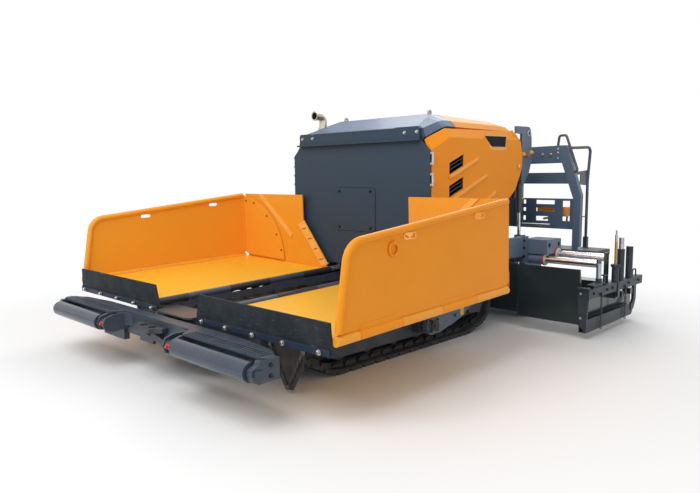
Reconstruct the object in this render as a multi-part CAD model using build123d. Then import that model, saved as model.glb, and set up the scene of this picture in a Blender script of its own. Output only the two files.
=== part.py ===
from build123d import *
import math
import os

# Small crawler asphalt paver.  Millimetres.  +X points forward to the push rollers,
# +Y to the machine's left, +Z up, ground at Z = 0.  While drawing, X = 0 is the plane of
# the hopper's rear corners.  save() moves every node along X so that the stored origin
# lies under the middle of the whole machine.

# ---------------------------------------------------------------- driving dimensions
ORIGIN_SHIFT = 168         # moves the drawing datum to the middle of the overall length

# hopper
HOPPER_LENGTH = 1761
INNER_HINGE_Y = 306        # wings fold about these two lines
OUTER_HINGE_Y = 1600       # side walls fold about these two lines
INNER_HINGE_Z = 477        # height of the inner hinge line at the hopper's front
OUTER_RISE = 32            # outer hinge line lies this much above the inner one
HOPPER_TILT = 1.82         # hinge lines climb to the rear, degrees
WALL_REAR = (-20, 684)     # centre line of a side wall's top tube, x and z above the hinge
WALL_CORNER = (1634, 557)
WALL_FOOT = (1728, 70)
PLATE = 12                 # hopper plates
PIN_FIT = 0.05             # radial clearance of a running fit

# tracks
TRACK_Y = 750              # centre plane of each track
SHOE_WIDTH = 260
SHOE_COUNT = 38
IDLER_X, IDLER_Z, IDLER_R = 1235, 280, 170
SPROCKET_X, SPROCKET_Z, SPROCKET_R = -760, 250, 205
GROUND_FRONT, GROUND_REAR = 1056, -602

# tractor body
HOOD_FRONT = -87
HOOD_REAR = -1560
DOOR_Y = 840               # outer face of the side doors
DECK_Z = 580               # underside of the deck plate

# screed
TOW_X, TOW_Z = 45, 212     # the tow arms swing about this line
ARM_Y = 935                # inner face of a tow arm
GATE_Y = 1768              # outer face of the end gates
SCREED_FRONT, SCREED_REAR = -1500, -1920


# ---------------------------------------------------------------- shape helpers
def block(x0, x1, y0, y1, z0, z1):
    """Rectangular block between two corners."""
    centre = ((x0 + x1) / 2, (y0 + y1) / 2, (z0 + z1) / 2)
    return Pos(*centre) * Box(abs(x1 - x0), abs(y1 - y0), abs(z1 - z0))


def side_plate(outline, y0, y1):
    """Outline of (x, z) points, extruded from y0 to y1."""
    face = make_face(Polyline(*[(x, y0, z) for x, z in outline], close=True))
    return extrude(face, amount=y1 - y0, dir=(0, 1, 0))


def front_plate(outline, x0, x1):
    """Outline of (y, z) points, extruded from x0 to x1."""
    face = make_face(Polyline(*[(x0, y, z) for y, z in outline], close=True))
    return extrude(face, amount=x1 - x0, dir=(1, 0, 0))


def floor_plate(outline, z0, z1):
    """Outline of (x, y) points, extruded from z0 to z1."""
    face = make_face(Polyline(*[(x, y, z0) for x, y in outline], close=True))
    return extrude(face, amount=z1 - z0, dir=(0, 0, 1))


def rod(start, end, radius):
    """Round bar between two points."""
    a, b = Vector(*start), Vector(*end)
    plane = Plane(origin=a, z_dir=b - a)
    return extrude(plane * Circle(radius), amount=(b - a).length)


def ring(start, end, outer, inner):
    """Tube between two points."""
    a, b = Vector(*start), Vector(*end)
    plane = Plane(origin=a, z_dir=b - a)
    return extrude(plane * (Circle(outer) - Circle(inner)), amount=(b - a).length)


def bent_tube(points, bend, radius):
    """Round bar along straight runs with round corners."""
    path = FilletPolyline(*points, radius=bend)
    start = path @ 0
    return sweep(Plane(origin=start, z_dir=path % 0) * Circle(radius), path=path)


def chain(start, end, count):
    """Run of flat-sided chain links, each second one turned a quarter."""
    a, b = Vector(*start), Vector(*end)
    along = (b - a).normalized()
    side = Vector(0, 1, 0) if abs(along.Y) < 0.9 else Vector(1, 0, 0)
    pitch = (b - a).length / count
    reach, hole = pitch / 2 + 5, pitch / 2 - 0.5
    right_half = [(reach - 5, -9), (reach, -4), (reach, 4), (reach - 5, 9)]
    outline = right_half + [(-u, -v) for u, v in right_half]
    link = make_face(Polyline(*outline, close=True)) - Rectangle(2 * hole, 7.6)
    links = []
    for number in range(count):
        middle = a + along * (pitch * (number + 0.5))
        across = side if number % 2 else along.cross(side)
        plane = Plane(origin=middle, x_dir=along, z_dir=across)
        links.append(extrude(plane * link, amount=3, both=True))
    return joined(*links)


def mirrored(shape):
    """The same piece on the machine's other side."""
    return mirror(shape, about=Plane.XZ)


def joined(*shapes):
    """One solid from pieces that touch or overlap."""
    result = shapes[0]
    for shape in shapes[1:]:
        result = result + shape
    return result


def save(name, shape):
    """Write one node, moved to the stored origin."""
    solids = Compound(children=[s for s in (Pos(ORIGIN_SHIFT, 0, 0) * shape).solids()])
    export_step(solids, f"parts/{name}.step")


def save_pair(name, shape):
    """Write the left piece and its mirror image on the right."""
    save(name + "_left", shape)
    save(name + "_right", mirrored(shape))


def on_hopper(shape):
    """Place a piece drawn with level hinge lines (z = 0 on the inner one)."""
    pivot = Pos(HOPPER_LENGTH, 0, INNER_HINGE_Z)
    return pivot * Rot(0, HOPPER_TILT, 0) * Pos(-HOPPER_LENGTH, 0, 0) * shape


# ---------------------------------------------------------------- crawler tracks
def tangent(centre, radius, point, side):
    """Where a line from the point touches the circle; side is +1 or -1."""
    dx, dz = centre[0] - point[0], centre[1] - point[1]
    reach = math.hypot(dx, dz)
    angle = math.atan2(dz, dx) + side * math.asin(radius / reach)
    run = math.sqrt(reach**2 - radius**2)
    return point[0] + run * math.cos(angle), point[1] + run * math.sin(angle)


def track_path():
    """Outer line of the shoes, round idler and sprocket, as one closed wire in XZ."""
    idler, sprocket = (IDLER_X, IDLER_Z), (SPROCKET_X, SPROCKET_Z)
    front_up = tangent(idler, IDLER_R, (GROUND_FRONT, 0), -1)
    rear_up = tangent(sprocket, SPROCKET_R, (GROUND_REAR, 0), 1)
    span = IDLER_X - SPROCKET_X
    lean = math.asin((SPROCKET_R - IDLER_R) / math.hypot(span, IDLER_Z - SPROCKET_Z))
    up = math.atan2(IDLER_Z - SPROCKET_Z, span) + math.pi / 2 - lean

    def at(centre, radius, angle):
        return centre[0] + radius * math.cos(angle), centre[1] + radius * math.sin(angle)

    idler_top, sprocket_top = at(idler, IDLER_R, up), at(sprocket, SPROCKET_R, up)
    corners = [(p[0], 0, p[1]) for p in (front_up, idler_top, sprocket_top, rear_up)]
    nose = (IDLER_X + IDLER_R, 0, IDLER_Z)
    tail = (SPROCKET_X - SPROCKET_R, 0, SPROCKET_Z)
    return Wire([
        Line((GROUND_REAR, 0, 0), (GROUND_FRONT, 0, 0)),
        Line((GROUND_FRONT, 0, 0), corners[0]),
        ThreePointArc(corners[0], nose, corners[1]).edge(),
        Line(corners[1], corners[2]),
        ThreePointArc(corners[2], tail, corners[3]).edge(),
        Line(corners[3], (GROUND_REAR, 0, 0)),
    ])


def track_loop(y_mid):
    """Shoes and link chain as one closed loop; each shoe has a raised bar and a gap."""
    path = track_path()
    shoe_depth, link_depth, gap = 34, 62, 0.09
    outer, waist, inner = [], [], []
    for shoe in range(SHOE_COUNT):
        for share in (gap, 0.5, 1 - gap):
            where = (shoe + share) / SHOE_COUNT
            point, along = path @ where, path % where
            inward = Vector(-along.Z, 0, along.X)
            outer.append(point)
            if share != 0.5:
                waist.append(point + inward * 22)
            if share == 0.5:
                inner.append((point + inward * shoe_depth, point + inward * link_depth))
    teeth = []
    for shoe in range(SHOE_COUNT):
        teeth += [waist[2 * shoe], outer[3 * shoe], outer[3 * shoe + 2], waist[2 * shoe + 1]]

    def loop(outside, inside, y0, y1):
        ring_face = make_face(Polyline(*outside, close=True))
        ring_face -= make_face(Polyline(*inside, close=True))
        return Pos(0, y0, 0) * extrude(ring_face, amount=y1 - y0, dir=(0, 1, 0))

    shoes = loop(teeth, [pair[0] for pair in inner], -SHOE_WIDTH / 2, SHOE_WIDTH / 2)
    links = loop([pair[0] for pair in inner], [pair[1] for pair in inner], -34, 34)
    return Pos(0, y_mid, 0) * joined(shoes, links)


WHEELS = [
    # x, z, radius, half width, teeth
    (IDLER_X, IDLER_Z, 92, 26, 0),
    (905, 127, 62, 26, 0),
    (600, 127, 62, 26, 0),
    (295, 127, 62, 26, 0),
    (-10, 127, 62, 26, 0),
    (-315, 127, 62, 26, 0),
    (800, 352, 32, 26, 0),
    (-150, 350, 32, 26, 0),
    (SPROCKET_X, SPROCKET_Z, 104, 16, 13),
]
FRAME_INNER, FRAME_OUTER = 672, 812      # inner faces of the track frame's plates


def track_wheels():
    """Idler, bottom rollers, top rollers and sprocket, each on its own axle."""
    wheels = []
    for x, z, radius, half, teeth in WHEELS:
        wheel = rod((x, TRACK_Y - half, z), (x, TRACK_Y + half, z), radius)
        if teeth:
            for number in range(teeth):
                turn = Pos(x, TRACK_Y, z) * Rot(0, 360 * number / teeth, 0)
                wheel += turn * Pos(0, 0, radius + 6) * Box(30, 2 * half, 22)
        hub = rod((x, FRAME_INNER + 16, z), (x, FRAME_OUTER, z), min(30, radius - 6))
        wheels.append(wheel + hub)
    return Compound(children=wheels)


def track_frame():
    """Two side plates with a box beam between them, and the drive's cover plate."""
    outline = [
        (1290, 250), (1290, 310), (1180, 335), (900, 330), (-560, 330), (-700, 300),
        (-840, 300), (-860, 220), (-800, 180), (-560, 150), (-420, 105), (1010, 105),
        (1130, 190),
    ]
    inner = side_plate(outline, FRAME_INNER, FRAME_INNER + 16)
    outer = side_plate(outline, FRAME_OUTER, FRAME_OUTER + 16)
    beam = block(-560, 1080, FRAME_INNER + 16, FRAME_OUTER, 215, 305)
    cover = side_plate(
        [(-560, 330), (-600, 345), (-800, 335), (-850, 250), (-800, 175), (-640, 185)],
        FRAME_OUTER + 16, FRAME_OUTER + 60,
    )
    # carrier beams that reach in to the chassis, between the track's two runs
    arms = block(760, 860, 580, FRAME_INNER, 215, 300) + block(-420, -320, 580, FRAME_INNER, 215, 300)
    # outrigger with the tow point's pin
    outrigger = block(-40, 130, FRAME_OUTER + 16, 905, 150, 275)
    pin = rod((TOW_X, 905, TOW_Z), (TOW_X, 1000, TOW_Z), 30)
    cap = rod((TOW_X, 1000, TOW_Z), (TOW_X, 1010, TOW_Z), 46)
    cap += rod((TOW_X, 1010, TOW_Z), (TOW_X, 1016, TOW_Z), 20)
    return joined(inner, outer, beam, cover, arms, outrigger, pin, cap)


# ---------------------------------------------------------------- chassis and conveyor
HINGE_STEPS = [1748, 1500, 1100, 700, 300, -50]    # knuckle ends along the inner hinge
HINGE_R, HINGE_PIN_R = 28, 16


def chassis_hinge():
    """Inner hinge line that belongs to the chassis: pin, its knuckles and their tabs."""
    y = INNER_HINGE_Y
    pieces = [rod((HINGE_STEPS[0], y, 0), (HINGE_STEPS[-1], y, 0), HINGE_PIN_R)]
    for step in (1, 3):
        front, rear = HINGE_STEPS[step] - 2, HINGE_STEPS[step + 1] + 2
        pieces.append(rod((front, y, 0), (rear, y, 0), HINGE_R))
        pieces.append(block(rear, front, y - 20, y - 4, -60, 0))
    return on_hopper(joined(*pieces))


def chassis():
    """Welded main frame between the tracks, with the nose plate ahead of the conveyor."""
    wall = side_plate(
        [(1752, 230), (1752, 430), (1740, 446), (-80, 500), (-1050, 500), (-1050, 230), (-800, 170),
         (1600, 170)],
        286, 302,
    )
    rail = block(-900, 1480, 540, 580, 190, 320)
    side = joined(wall, rail, chassis_hinge())
    cross = [block(x, x + 90, 302, 540, 200, 300) for x in (1350, 765, 120, -415, -880)]
    side = joined(side, *cross)
    both = joined(side, mirrored(side))
    nose = block(1700, 1752, -286, 286, 230, 430)
    lip = floor_plate(
        [(1600, -286), (1600, 286), (1745, 286), (1745, 226), (1792, 226), (1822, 190),
         (1822, -190), (1792, -226), (1745, -226), (1745, -286)], 430, 442)
    rear = block(-1050, -1030, -286, 286, 230, 300)
    belly = block(-1050, 1752, -286, 286, 230, 242)
    return joined(both, nose, lip, rear, belly)


def engine_deck():
    """Deck plate over the tracks with its side skirts, narrower over the augers."""
    deck = block(-1030, -140, -745, 745, DECK_Z, DECK_Z + 20)
    deck += block(-1390, -1030, -600, 600, DECK_Z, DECK_Z + 20)
    legs = joined(*[
        block(x, x + 60, y0, y1, 500, DECK_Z)
        for x in (-240, -1040) for y0, y1 in ((286, 302), (-302, -286))
    ])
    tail = block(-1390, -1040, -560, 560, 520, DECK_Z) - block(-1378, -1052, -548, 548, 519, DECK_Z)
    skirt = block(-1030, -140, 745, 835, DECK_Z, DECK_Z + 20)
    skirt += block(-1030, -140, 815, 835, DECK_Z, 868)
    return joined(deck, legs, tail, skirt, mirrored(skirt))


def conveyor():
    """Floor of the feed tunnel, with chain guards and a middle guard along it."""
    floor = side_plate([(1690, 380), (1690, 392), (-1100, 420), (-1100, 408)], -284, 284)
    guards = []
    for y0, y1 in ((250, 284), (-284, -250), (-30, 30)):
        guards.append(side_plate([(1690, 386), (1690, 420), (-1100, 450), (-1100, 414)], y0, y1))
    return joined(floor, *guards)


def conveyor_slats():
    """Cross bars of the two feed chains, on the floor's top run and under it."""
    bars = []
    for number in range(9):
        x = 1560 - 300 * number
        z = 392 + (1690 - x) * 28 / 2790 + 5
        for y0, y1 in ((36, 244), (-244, -36)):
            bars.append(block(x, x + 22, y0, y1, z, z + 14))
    return Compound(children=bars)


# ---------------------------------------------------------------- hopper
def wing():
    """One folding wing: floor, hinge knuckles, rear panel with its V edge, front flange."""
    y0, y1 = INNER_HINGE_Y, OUTER_HINGE_Y
    slope = OUTER_RISE / (y1 - y0)

    def floor_z(y):
        return (y - y0) * slope

    inner, outer = y0 + 34, y1 - 36
    floor = front_plate(
        [(inner, floor_z(inner) - 6), (outer, floor_z(outer) - 6),
         (outer, floor_z(outer) + 6), (inner, floor_z(inner) + 6)], -50, 1755)
    pieces = [floor]
    for step in (0, 2, 4):
        front, rear = HINGE_STEPS[step] - 2, HINGE_STEPS[step + 1] + 2
        knuckle = ring((front, y0, 0), (rear, y0, 0), HINGE_R, HINGE_PIN_R + PIN_FIT)
        tab = block(rear, front, y0 + 22, inner + 2, -6, 6)
        pieces += [knuckle, tab]
    for front, rear in ((1755, 1578), (1205, 803), (403, -20)):
        knuckle = ring((front, y1, OUTER_RISE), (rear, y1, OUTER_RISE), 30, 12 + PIN_FIT)
        tab = block(rear, front, outer - 2, y1 - 22, OUTER_RISE - 7, OUTER_RISE + 5)
        pieces += [knuckle, tab]
    for x in (1560, 980, 400, 20):
        pieces.append(front_plate(
            [(930, floor_z(930) - 6), (1550, floor_z(1550) - 6), (1520, floor_z(1520) - 40),
             (960, floor_z(960) - 40)], x, x + 40))
    rear_panel = front_plate(
        [(inner, 0), (inner, 14), (664, 456), (664, 700), (1582, 700), (1582, 60), (1560, 26)],
        -62, -50)
    flange = front_plate([(inner, -40), (1560, -20), (1560, 26), (inner, 0)], 1743, 1755)
    strip = front_plate([(642, 452), (734, 412), (408, 14), (318, 40)], -50, -40)
    for share in (0.14, 0.38, 0.62, 0.86):                   # slots along the strip
        y, z = 688 - 325 * share, 432 - 405 * share
        strip -= Pos(-45, y, z) * Rot(-14, 0, 0) * Box(20, 40, 9)
    band = front_plate([(1355, 700), (1275, 700), (822, 316), (848, 262)], -50, -44)
    return on_hopper(joined(*pieces, rear_panel, flange, strip, band))


def front_flap():
    """Rubber lip across a wing's front with its clamp strip and bolt heads."""
    sheet = front_plate([(297, 136), (1574, 136), (1586, -40), (1576, -62), (238, -64)], 1757, 1769)
    strip = front_plate([(262, -62), (262, -22), (1580, -14), (1580, -58)], 1769, 1777)
    bolts = [
        rod((1777, y, -42 + (y - 340) * 6 / 1200), (1786, y, -42 + (y - 340) * 6 / 1200), 13)
        for y in (340, 615, 900, 1190, 1500)
    ]
    return on_hopper(joined(sheet, strip, *bolts))


def side_wall():
    """Outer wall of a wing: plate, rolled tube, knuckles, sector plate, handle slots and ring."""
    y, z = OUTER_HINGE_Y, OUTER_RISE
    rear, corner, foot = [(x, y, height) for x, height in (WALL_REAR, WALL_CORNER, WALL_FOOT)]
    outline = FilletPolyline((-20, y, z + 31.5), (foot[0], y, z + 31.5), corner, rear, radius=[1, 130])
    closing = Line(rear, (-20, y, z + 31.5))
    face = make_face(Wire([*outline.edges(), closing]))
    plate = Pos(0, -6, 0) * extrude(face, amount=PLATE, dir=(0, 1, 0))
    for x, height in ((1111, 549), (352, 610)):
        slot = Pos(x, y, height) * Rot(90, 0, 0) * extrude(SlotOverall(104, 34), amount=30, both=True)
        plate -= slot
    pieces = [plate, bent_tube([rear, corner, foot], 130, 24)]
    for front, back in ((1574, 1209), (799, 407)):
        knuckle = rod((front, y, z), (back, y, z), 30)
        raised = side_plate(
            [(back, z), (front, z), (front - 20, z + 62), (back + 20, z + 62)], y - 8, y + 8)
        pieces += [knuckle, raised]
    pieces.append(rod((1755, y, z), (-20, y, z), 12))
    reach = 640
    arc = ThreePointArc(
        (0, y - 4, z + reach), (0, y - reach * 0.7071, z + reach * 0.7071), (0, y - reach, z + 4))
    sector_face = make_face(Wire([
        arc.edge(), Line((0, y - reach, z + 4), (0, y - 48, z + 22)),
        Line((0, y - 48, z + 22), (0, y - 4, z + 44)), Line((0, y - 4, z + 44), (0, y - 4, z + reach)),
    ]))
    pieces.append(Pos(-44, 0, 0) * extrude(sector_face, amount=10, dir=(1, 0, 0)))
    pieces.append(block(-44, -14, y - 16, y + 6, z + 44, WALL_REAR[1]))
    pieces.append(Pos(1268, y + 15, 486) * Rot(90, 0, 0) * Torus(38, 7))
    pieces.append(block(1256, 1280, y + 4, y + 26, 514, 534))
    return on_hopper(joined(*pieces))


# ---------------------------------------------------------------- push rollers
PUSH_X, PUSH_Z, PUSH_R = 2087, 348, 57.5
PIVOT_X = 1850
BEAM_FACE = 1937           # front face of the push beam between the rollers
HOOK_HOLE_R = 28


def push_carrier():
    """Bracket on the chassis nose that holds the push beam's pivot pin."""
    shape = [(1752, -180), (1752, 180), (1900, 150), (1900, -150)]
    plates = floor_plate(shape, 386, 402) + floor_plate(shape, 290, 306)
    web = block(1752, 1766, -180, 180, 306, 386)
    pin = rod((PIVOT_X, 0, 306), (PIVOT_X, 0, 386), 24)
    return joined(plates, web, pin)


def push_beam():
    """Cross beam with both roller carriers and their treads; it swings about its middle pin."""
    tongue = floor_plate([(1800, -110), (1800, 110), (1930, 320), (1930, -320)], 330, 376)
    tongue -= rod((PIVOT_X, 0, 320), (PIVOT_X, 0, 380), 24 + PIN_FIT)
    half_plan = [(1925, 0), (BEAM_FACE, 0), (BEAM_FACE, 350), (1990, 470), (1990, 1330), (1925, 1330)]
    beam = floor_plate(half_plan, 322, 412)
    half_skin = [(1845, 0), (BEAM_FACE, 0), (BEAM_FACE, 430), (2040, 512), (2040, 1300), (2006, 1345),
                 (1968, 1352), (1886, 1205), (1845, 870)]
    skin = floor_plate(half_skin, 412, 424)
    half = joined(beam, skin, block(1915, BEAM_FACE, 0, 440, 262, 322))
    for x in (1950, 1975, 2000, 2022):                       # tread ribs over a roller
        half += block(x, x + 8, 530, 1290, 424, 430)
    for y0, y1, low in ((52, 238, 236), (440, 770, 206)):    # blocks hanging under the beam
        half += block(1915, 1958 if low < 220 else BEAM_FACE, y0, y1, low, 330)
    lug = [(1925, 292), (2070, 286), (2108, 304), (2122, 338), (2118, 372), (2072, 392), (2062, 413),
           (1925, 413)]
    half += side_plate(lug, 1288, 1330)
    plate = [(1925, 300), (2050, 285), (2110, 300), (2130, 345), (2110, 395), (2050, 413), (1925, 413)]
    half += side_plate(plate, 496, 520) + side_plate(plate, 412, 430)
    half += rod((PUSH_X, 412, PUSH_Z), (PUSH_X, 1344, PUSH_Z), 20)
    half += rod((PUSH_X, 430, PUSH_Z), (PUSH_X, 496, PUSH_Z), 32)
    half += rod((PUSH_X, 463, PUSH_Z), (PUSH_X + 46, 463, PUSH_Z), 10)
    half += block(PUSH_X - 42, PUSH_X + 14, 1330, 1338, PUSH_Z - 16, PUSH_Z + 16)
    return joined(tongue, half, mirrored(half))


def tow_hook():
    """Hook plate with two pin holes, on two gussets at the middle of the push beam."""
    plate = floor_plate(
        [(BEAM_FACE, -165), (BEAM_FACE, 165), (1985, 165), (2052, 100), (2052, -100), (1985, -165)],
        358, 388)
    for y in (-58, 58):
        plate -= rod((1996, y, 350), (1996, y, 400), HOOK_HOLE_R)
    for y in (-110, 90):
        plate += side_plate([(BEAM_FACE, 290), (BEAM_FACE, 360), (2030, 360)], y, y + 20)
    return plate


def push_roller():
    """Plain steel roller with end plates, free on its pin."""
    shell = ring((PUSH_X, 526, PUSH_Z), (PUSH_X, 1282, PUSH_Z), PUSH_R, PUSH_R - 10)
    for a, b in ((526, 540), (1268, 1282)):
        shell += ring((PUSH_X, a, PUSH_Z), (PUSH_X, b, PUSH_Z), PUSH_R - 9, 20 + PIN_FIT)
    return shell


def track_deflector():
    """Rubber V flap that hangs ahead of a track, with the chains along its two lower edges."""
    sheet = front_plate(
        [(700, 440), (1070, 440), (1055, 190), (950, 26), (880, 26), (745, 210)], 1500, 1512)
    bar = block(1470, 1500, 690, 1080, 400, 440)
    bar += block(1440, 1480, 302, 700, 400, 430)
    clasp = block(1510, 1530, 896, 934, 30, 60)
    chains = [chain((1519, 1064, 300), (1519, 925, 50), 12), chain((1519, 740, 300), (1519, 905, 50), 12)]
    hooks = [block(1510, 1526, y - 12, y + 12, 290, 318) for y in (1064, 740)]
    return joined(sheet, bar, clasp, *hooks, *chains)


# ---------------------------------------------------------------- hood
CAP_SECTIONS = [
    # x, foot y, foot z, shoulder y, shoulder z, crown y, crown z
    (-95, 770, 1722, 745, 1797, 690, 1812),
    (-357, 755, 1815, 715, 1868, 600, 1915),
    (-450, 745, 1832, 690, 1886, 545, 1953),
    (-580, 745, 1832, 690, 1886, 545, 1951),
]
EYE_X, EYE_Z, EYE_R = -500, 1968, 12     # hole of a lifting eye on the hood
HINGE_ZS, HINGE_HALF = (1378, 1550), 52  # middle heights of a door's hinges, half length
COVER_SECTIONS = [
    (-590, 745, 1832, 690, 1886, 545, 1951),
    (-1400, 745, 1834, 690, 1886, 560, 1935),
    (-1500, 745, 1834, 690, 1878, 580, 1912),
    (-1560, 740, 1834, 685, 1850, 600, 1868),
]


def roof(sections, wall):
    """Ruled roof shell through symmetrical sections, open below."""
    def skin(inset, drop):
        faces = []
        for x, foot_y, foot_z, shoulder_y, shoulder_z, crown_y, crown_z in sections:
            half = [(foot_y - 30 - inset, foot_z - drop), (foot_y - inset, foot_z),
                    (shoulder_y - inset, shoulder_z - inset), (crown_y - inset, crown_z - inset)]
            points = [(x, y, z) for y, z in half] + [(x, -y, z) for y, z in reversed(half)]
            faces.append(make_face(Polyline(*points, close=True)))
        return loft(faces, ruled=True)

    return skin(0, 30) - skin(wall, 60)


def hood_front():
    """Dark front panel with cut corners, its hatch and brow, and the cap that slopes up behind."""
    panel = front_plate(
        [(-837, 600), (837, 600), (837, 1611), (739, 1705), (-739, 1705), (-837, 1611)],
        HOOD_FRONT - 20, HOOD_FRONT)
    hatch_plane = Plane(origin=(HOOD_FRONT, -10, 1110), x_dir=(0, 1, 0), z_dir=(1, 0, 0))
    hatch = extrude(hatch_plane * RectangleRounded(500, 391, 28), amount=5)
    lip = block(-117, -40, -745, 745, 1698, 1712)
    brow = front_plate(
        [(-738, 1700), (738, 1700), (738, 1800), (722, 1816), (480, 1816), (440, 1796), (-540, 1796),
         (-580, 1816), (-722, 1816), (-738, 1800)], -117, -72)
    cap = roof(CAP_SECTIONS, 22)
    for y in (-517, 517):                                    # lifting eyes on the cap
        eye = rod((EYE_X, y - 8, EYE_Z), (EYE_X, y + 8, EYE_Z), 24)
        eye += block(EYE_X - 24, EYE_X + 24, y - 8, y + 8, 1932, EYE_Z)
        cap += eye - rod((EYE_X, y - 9, EYE_Z), (EYE_X, y + 9, EYE_Z), EYE_R)
    pins = []
    for z in HINGE_ZS:
        for low, high in ((z - HINGE_HALF, z - 34), (z + 34, z + HINGE_HALF)):
            pins.append(rod((-108, 850, low), (-108, 850, high), 9))
            pins.append(block(-106, HOOD_FRONT - 1, 836, 850, low, high))
        pins.append(rod((-108, 850, z - 34), (-108, 850, z + 34), 5))
    pins = joined(*pins)
    return joined(panel, hatch, lip, brow, cap, pins, mirrored(pins))


def hood_top():
    """Yellow top cover behind the cap."""
    rear = block(HOOD_REAR, HOOD_REAR + 14, -740, 740, 1790, 1850)
    return joined(roof(COVER_SECTIONS, 22), rear)


def hood_rear():
    """Dark rear wall of the engine bay, drawn in towards its foot."""
    line = [(-1190, 600), (-1240, 1060), (-1330, 1190), (-1430, 1280), (-1540, 1490), (-1540, 1800)]
    outline = line + [(x + 18, z) for x, z in reversed(line)]
    return side_plate(outline, -738, 738)


DOOR_HINGE_X, DOOR_HINGE_Y = -108, 850


def side_door():
    """Yellow side door with its leaning top facet, louvres and pressed ribs."""
    y1, y0 = DOOR_Y, DOOR_Y - 26
    slab = side_plate(
        [(-112, 880), (-112, 1617), (-357, 1730), (-1500, 1750), (-1540, 1735), (-1575, 1600),
         (-1573, 1490), (-1530, 1400), (-1448, 1269), (-1338, 1190), (-1250, 1060), (-1210, 880)],
        y0, y1)
    sections = []
    for x, crease_z, top_z in ((-112, 1617, 1719), (-357, 1730, 1808), (-1490, 1750, 1832), (-1530, 1740, 1820)):
        points = [(x, y1, crease_z), (x, 782, top_z), (x, 760, top_z - 14), (x, y0, crease_z - 14)]
        sections.append(make_face(Polyline(*points, close=True)))
    door = slab + loft(sections, ruled=True)
    for low in (1414, 1220):
        opening = side_plate(
            [(-357, low), (-357, low + 101), (-565, low + 181), (-565, low + 78)], y0 - 1, y1 + 1)
        door -= opening
        for number in range(4):
            z = low - 6 + 34 * number
            slat = side_plate([(-350, z), (-350, z + 8), (-572, z + 90), (-572, z + 82)], y0 + 2, y0 + 14)
            door += slat & side_plate(
                [(-350, low - 4), (-350, low + 105), (-572, low + 185), (-572, low + 74)], y0, y1)
    ribs = [((-352, 1389), (-791, 1556)), ((-428, 1210), (-943, 1414)), ((-967, 1195), (-1085, 1257))]
    for (x0, z0), (x1, z1) in ribs:
        door += side_plate([(x0, z0 - 16), (x0, z0 + 16), (x1, z1 + 16), (x1, z1 - 16)], y1 - 2, y1 + 8)
    door += block(-1520, -1470, y1 - 1, y1 + 5, 1470, 1530)
    door += rod((-1495, y1 + 4, 1500), (-1495, y1 + 14, 1500), 16)
    for z in HINGE_ZS:
        door += ring((DOOR_HINGE_X, DOOR_HINGE_Y, z - 33), (DOOR_HINGE_X, DOOR_HINGE_Y, z + 33), 9, 5 + PIN_FIT)
        door += block(-160, DOOR_HINGE_X - 6, y1 - 1, DOOR_HINGE_Y, z - 33, z + 33)
    return door


def exhaust():
    """Bright elbow at the hood's far front corner, its flared mouth open to the front."""
    x, y, z = -344, -690, 2006
    foot = rod((x, y, 1830), (x, y, 1896), 50)
    outer = bent_tube([(x, y, 1860), (x, y, z), (x + 118, y, z)], 48, 40)
    flare = rod((x + 98, y, z), (x + 118, y, z), 45)
    bore = bent_tube([(x, y, 1900), (x, y, z), (x + 119, y, z)], 48, 34)
    return (foot + outer + flare) - bore


# ---------------------------------------------------------------- masts and operator's stand
LIFT_TOP, LIFT_FOOT = (-1640, 1480), (-1665, 780)     # x, z of a lift cylinder's two pins
MAST_HOLE_R = 18
STAND_X = -2110            # front plane of the stand's portal
STAND_BACK = STAND_X - 60
BOARD_FRONT, BOARD_REAR, BOARD_TOP = -2130, -2480, 648


def rear_mast():
    """Side mast behind the hood: two plates that hold the lift cylinder's upper pin."""
    outline = [
        (-1590, 1330), (-1590, 1842), (-1482, 1846), (-1482, 1884), (-1690, 1888), (-1730, 1886),
        (-1758, 1862), (-1778, 1780), (-1786, 1560), (-1740, 1440), (-1640, 1330),
    ]
    outer = side_plate(outline, 800, 826) - rod((-1720, 790, 1825), (-1720, 830, 1825), MAST_HOLE_R)
    inner = side_plate(
        [(-1590, 1400), (-1590, 1640), (-1740, 1640), (-1740, 1540), (-1680, 1400)], 720, 742)
    foot = block(-1590, -1558, 640, 810, 1400, 1760)
    back = block(-1558, -1540, 640, 740, 1500, 1760)
    pin = rod((LIFT_TOP[0], 742, LIFT_TOP[1]), (LIFT_TOP[0], 800, LIFT_TOP[1]), 16)
    return joined(outer, inner, foot, back, pin)


WINDOWS = [
    # y from, y to, z from, z to: openings in the stand's lower panel
    (540, 572, 1108, 1150),
    (540, 572, 1030, 1068),
    (540, 572, 932, 980),
    (690, 900, 1108, 1150),
    (690, 900, 1030, 1068),
    (690, 830, 932, 980),
    (988, 1068, 938, 1146),
]


def stand_frame():
    """Portal of the operator's stand: beam, splayed legs, bars and windowed panel."""
    x0, x1 = STAND_BACK, STAND_X
    beam = front_plate([(532, 1530), (532, 1706), (995, 1713), (995, 1535)], x0, x1)
    leg = front_plate(
        [(953, 1713), (1030, 1713), (1200, 1211), (1197, 686), (1122, 686), (1122, 1169), (970, 1590)],
        x0, x1)
    bar = block(x0, x0 + 25, 532, 1075, 1322, 1437)
    panel = block(x0, x0 + 12, 532, 1150, 854, 1169)
    for a, b, c, d in WINDOWS:
        panel -= block(x0 - 5, x0 + 40, a, b, c, d)
    hanger = block(x0, x0 + 30, 455, 533, 854, 1540)
    foot = block(BOARD_FRONT, STAND_X, 1122, 1180, 590, 700)
    half = joined(beam, leg, bar, panel, hanger, foot)
    middle = block(x0, x1, -533, 533, 1530, 1706) + block(x0, x0 + 12, -533, 533, 854, 1169)
    return joined(half, mirrored(half), middle)


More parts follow.
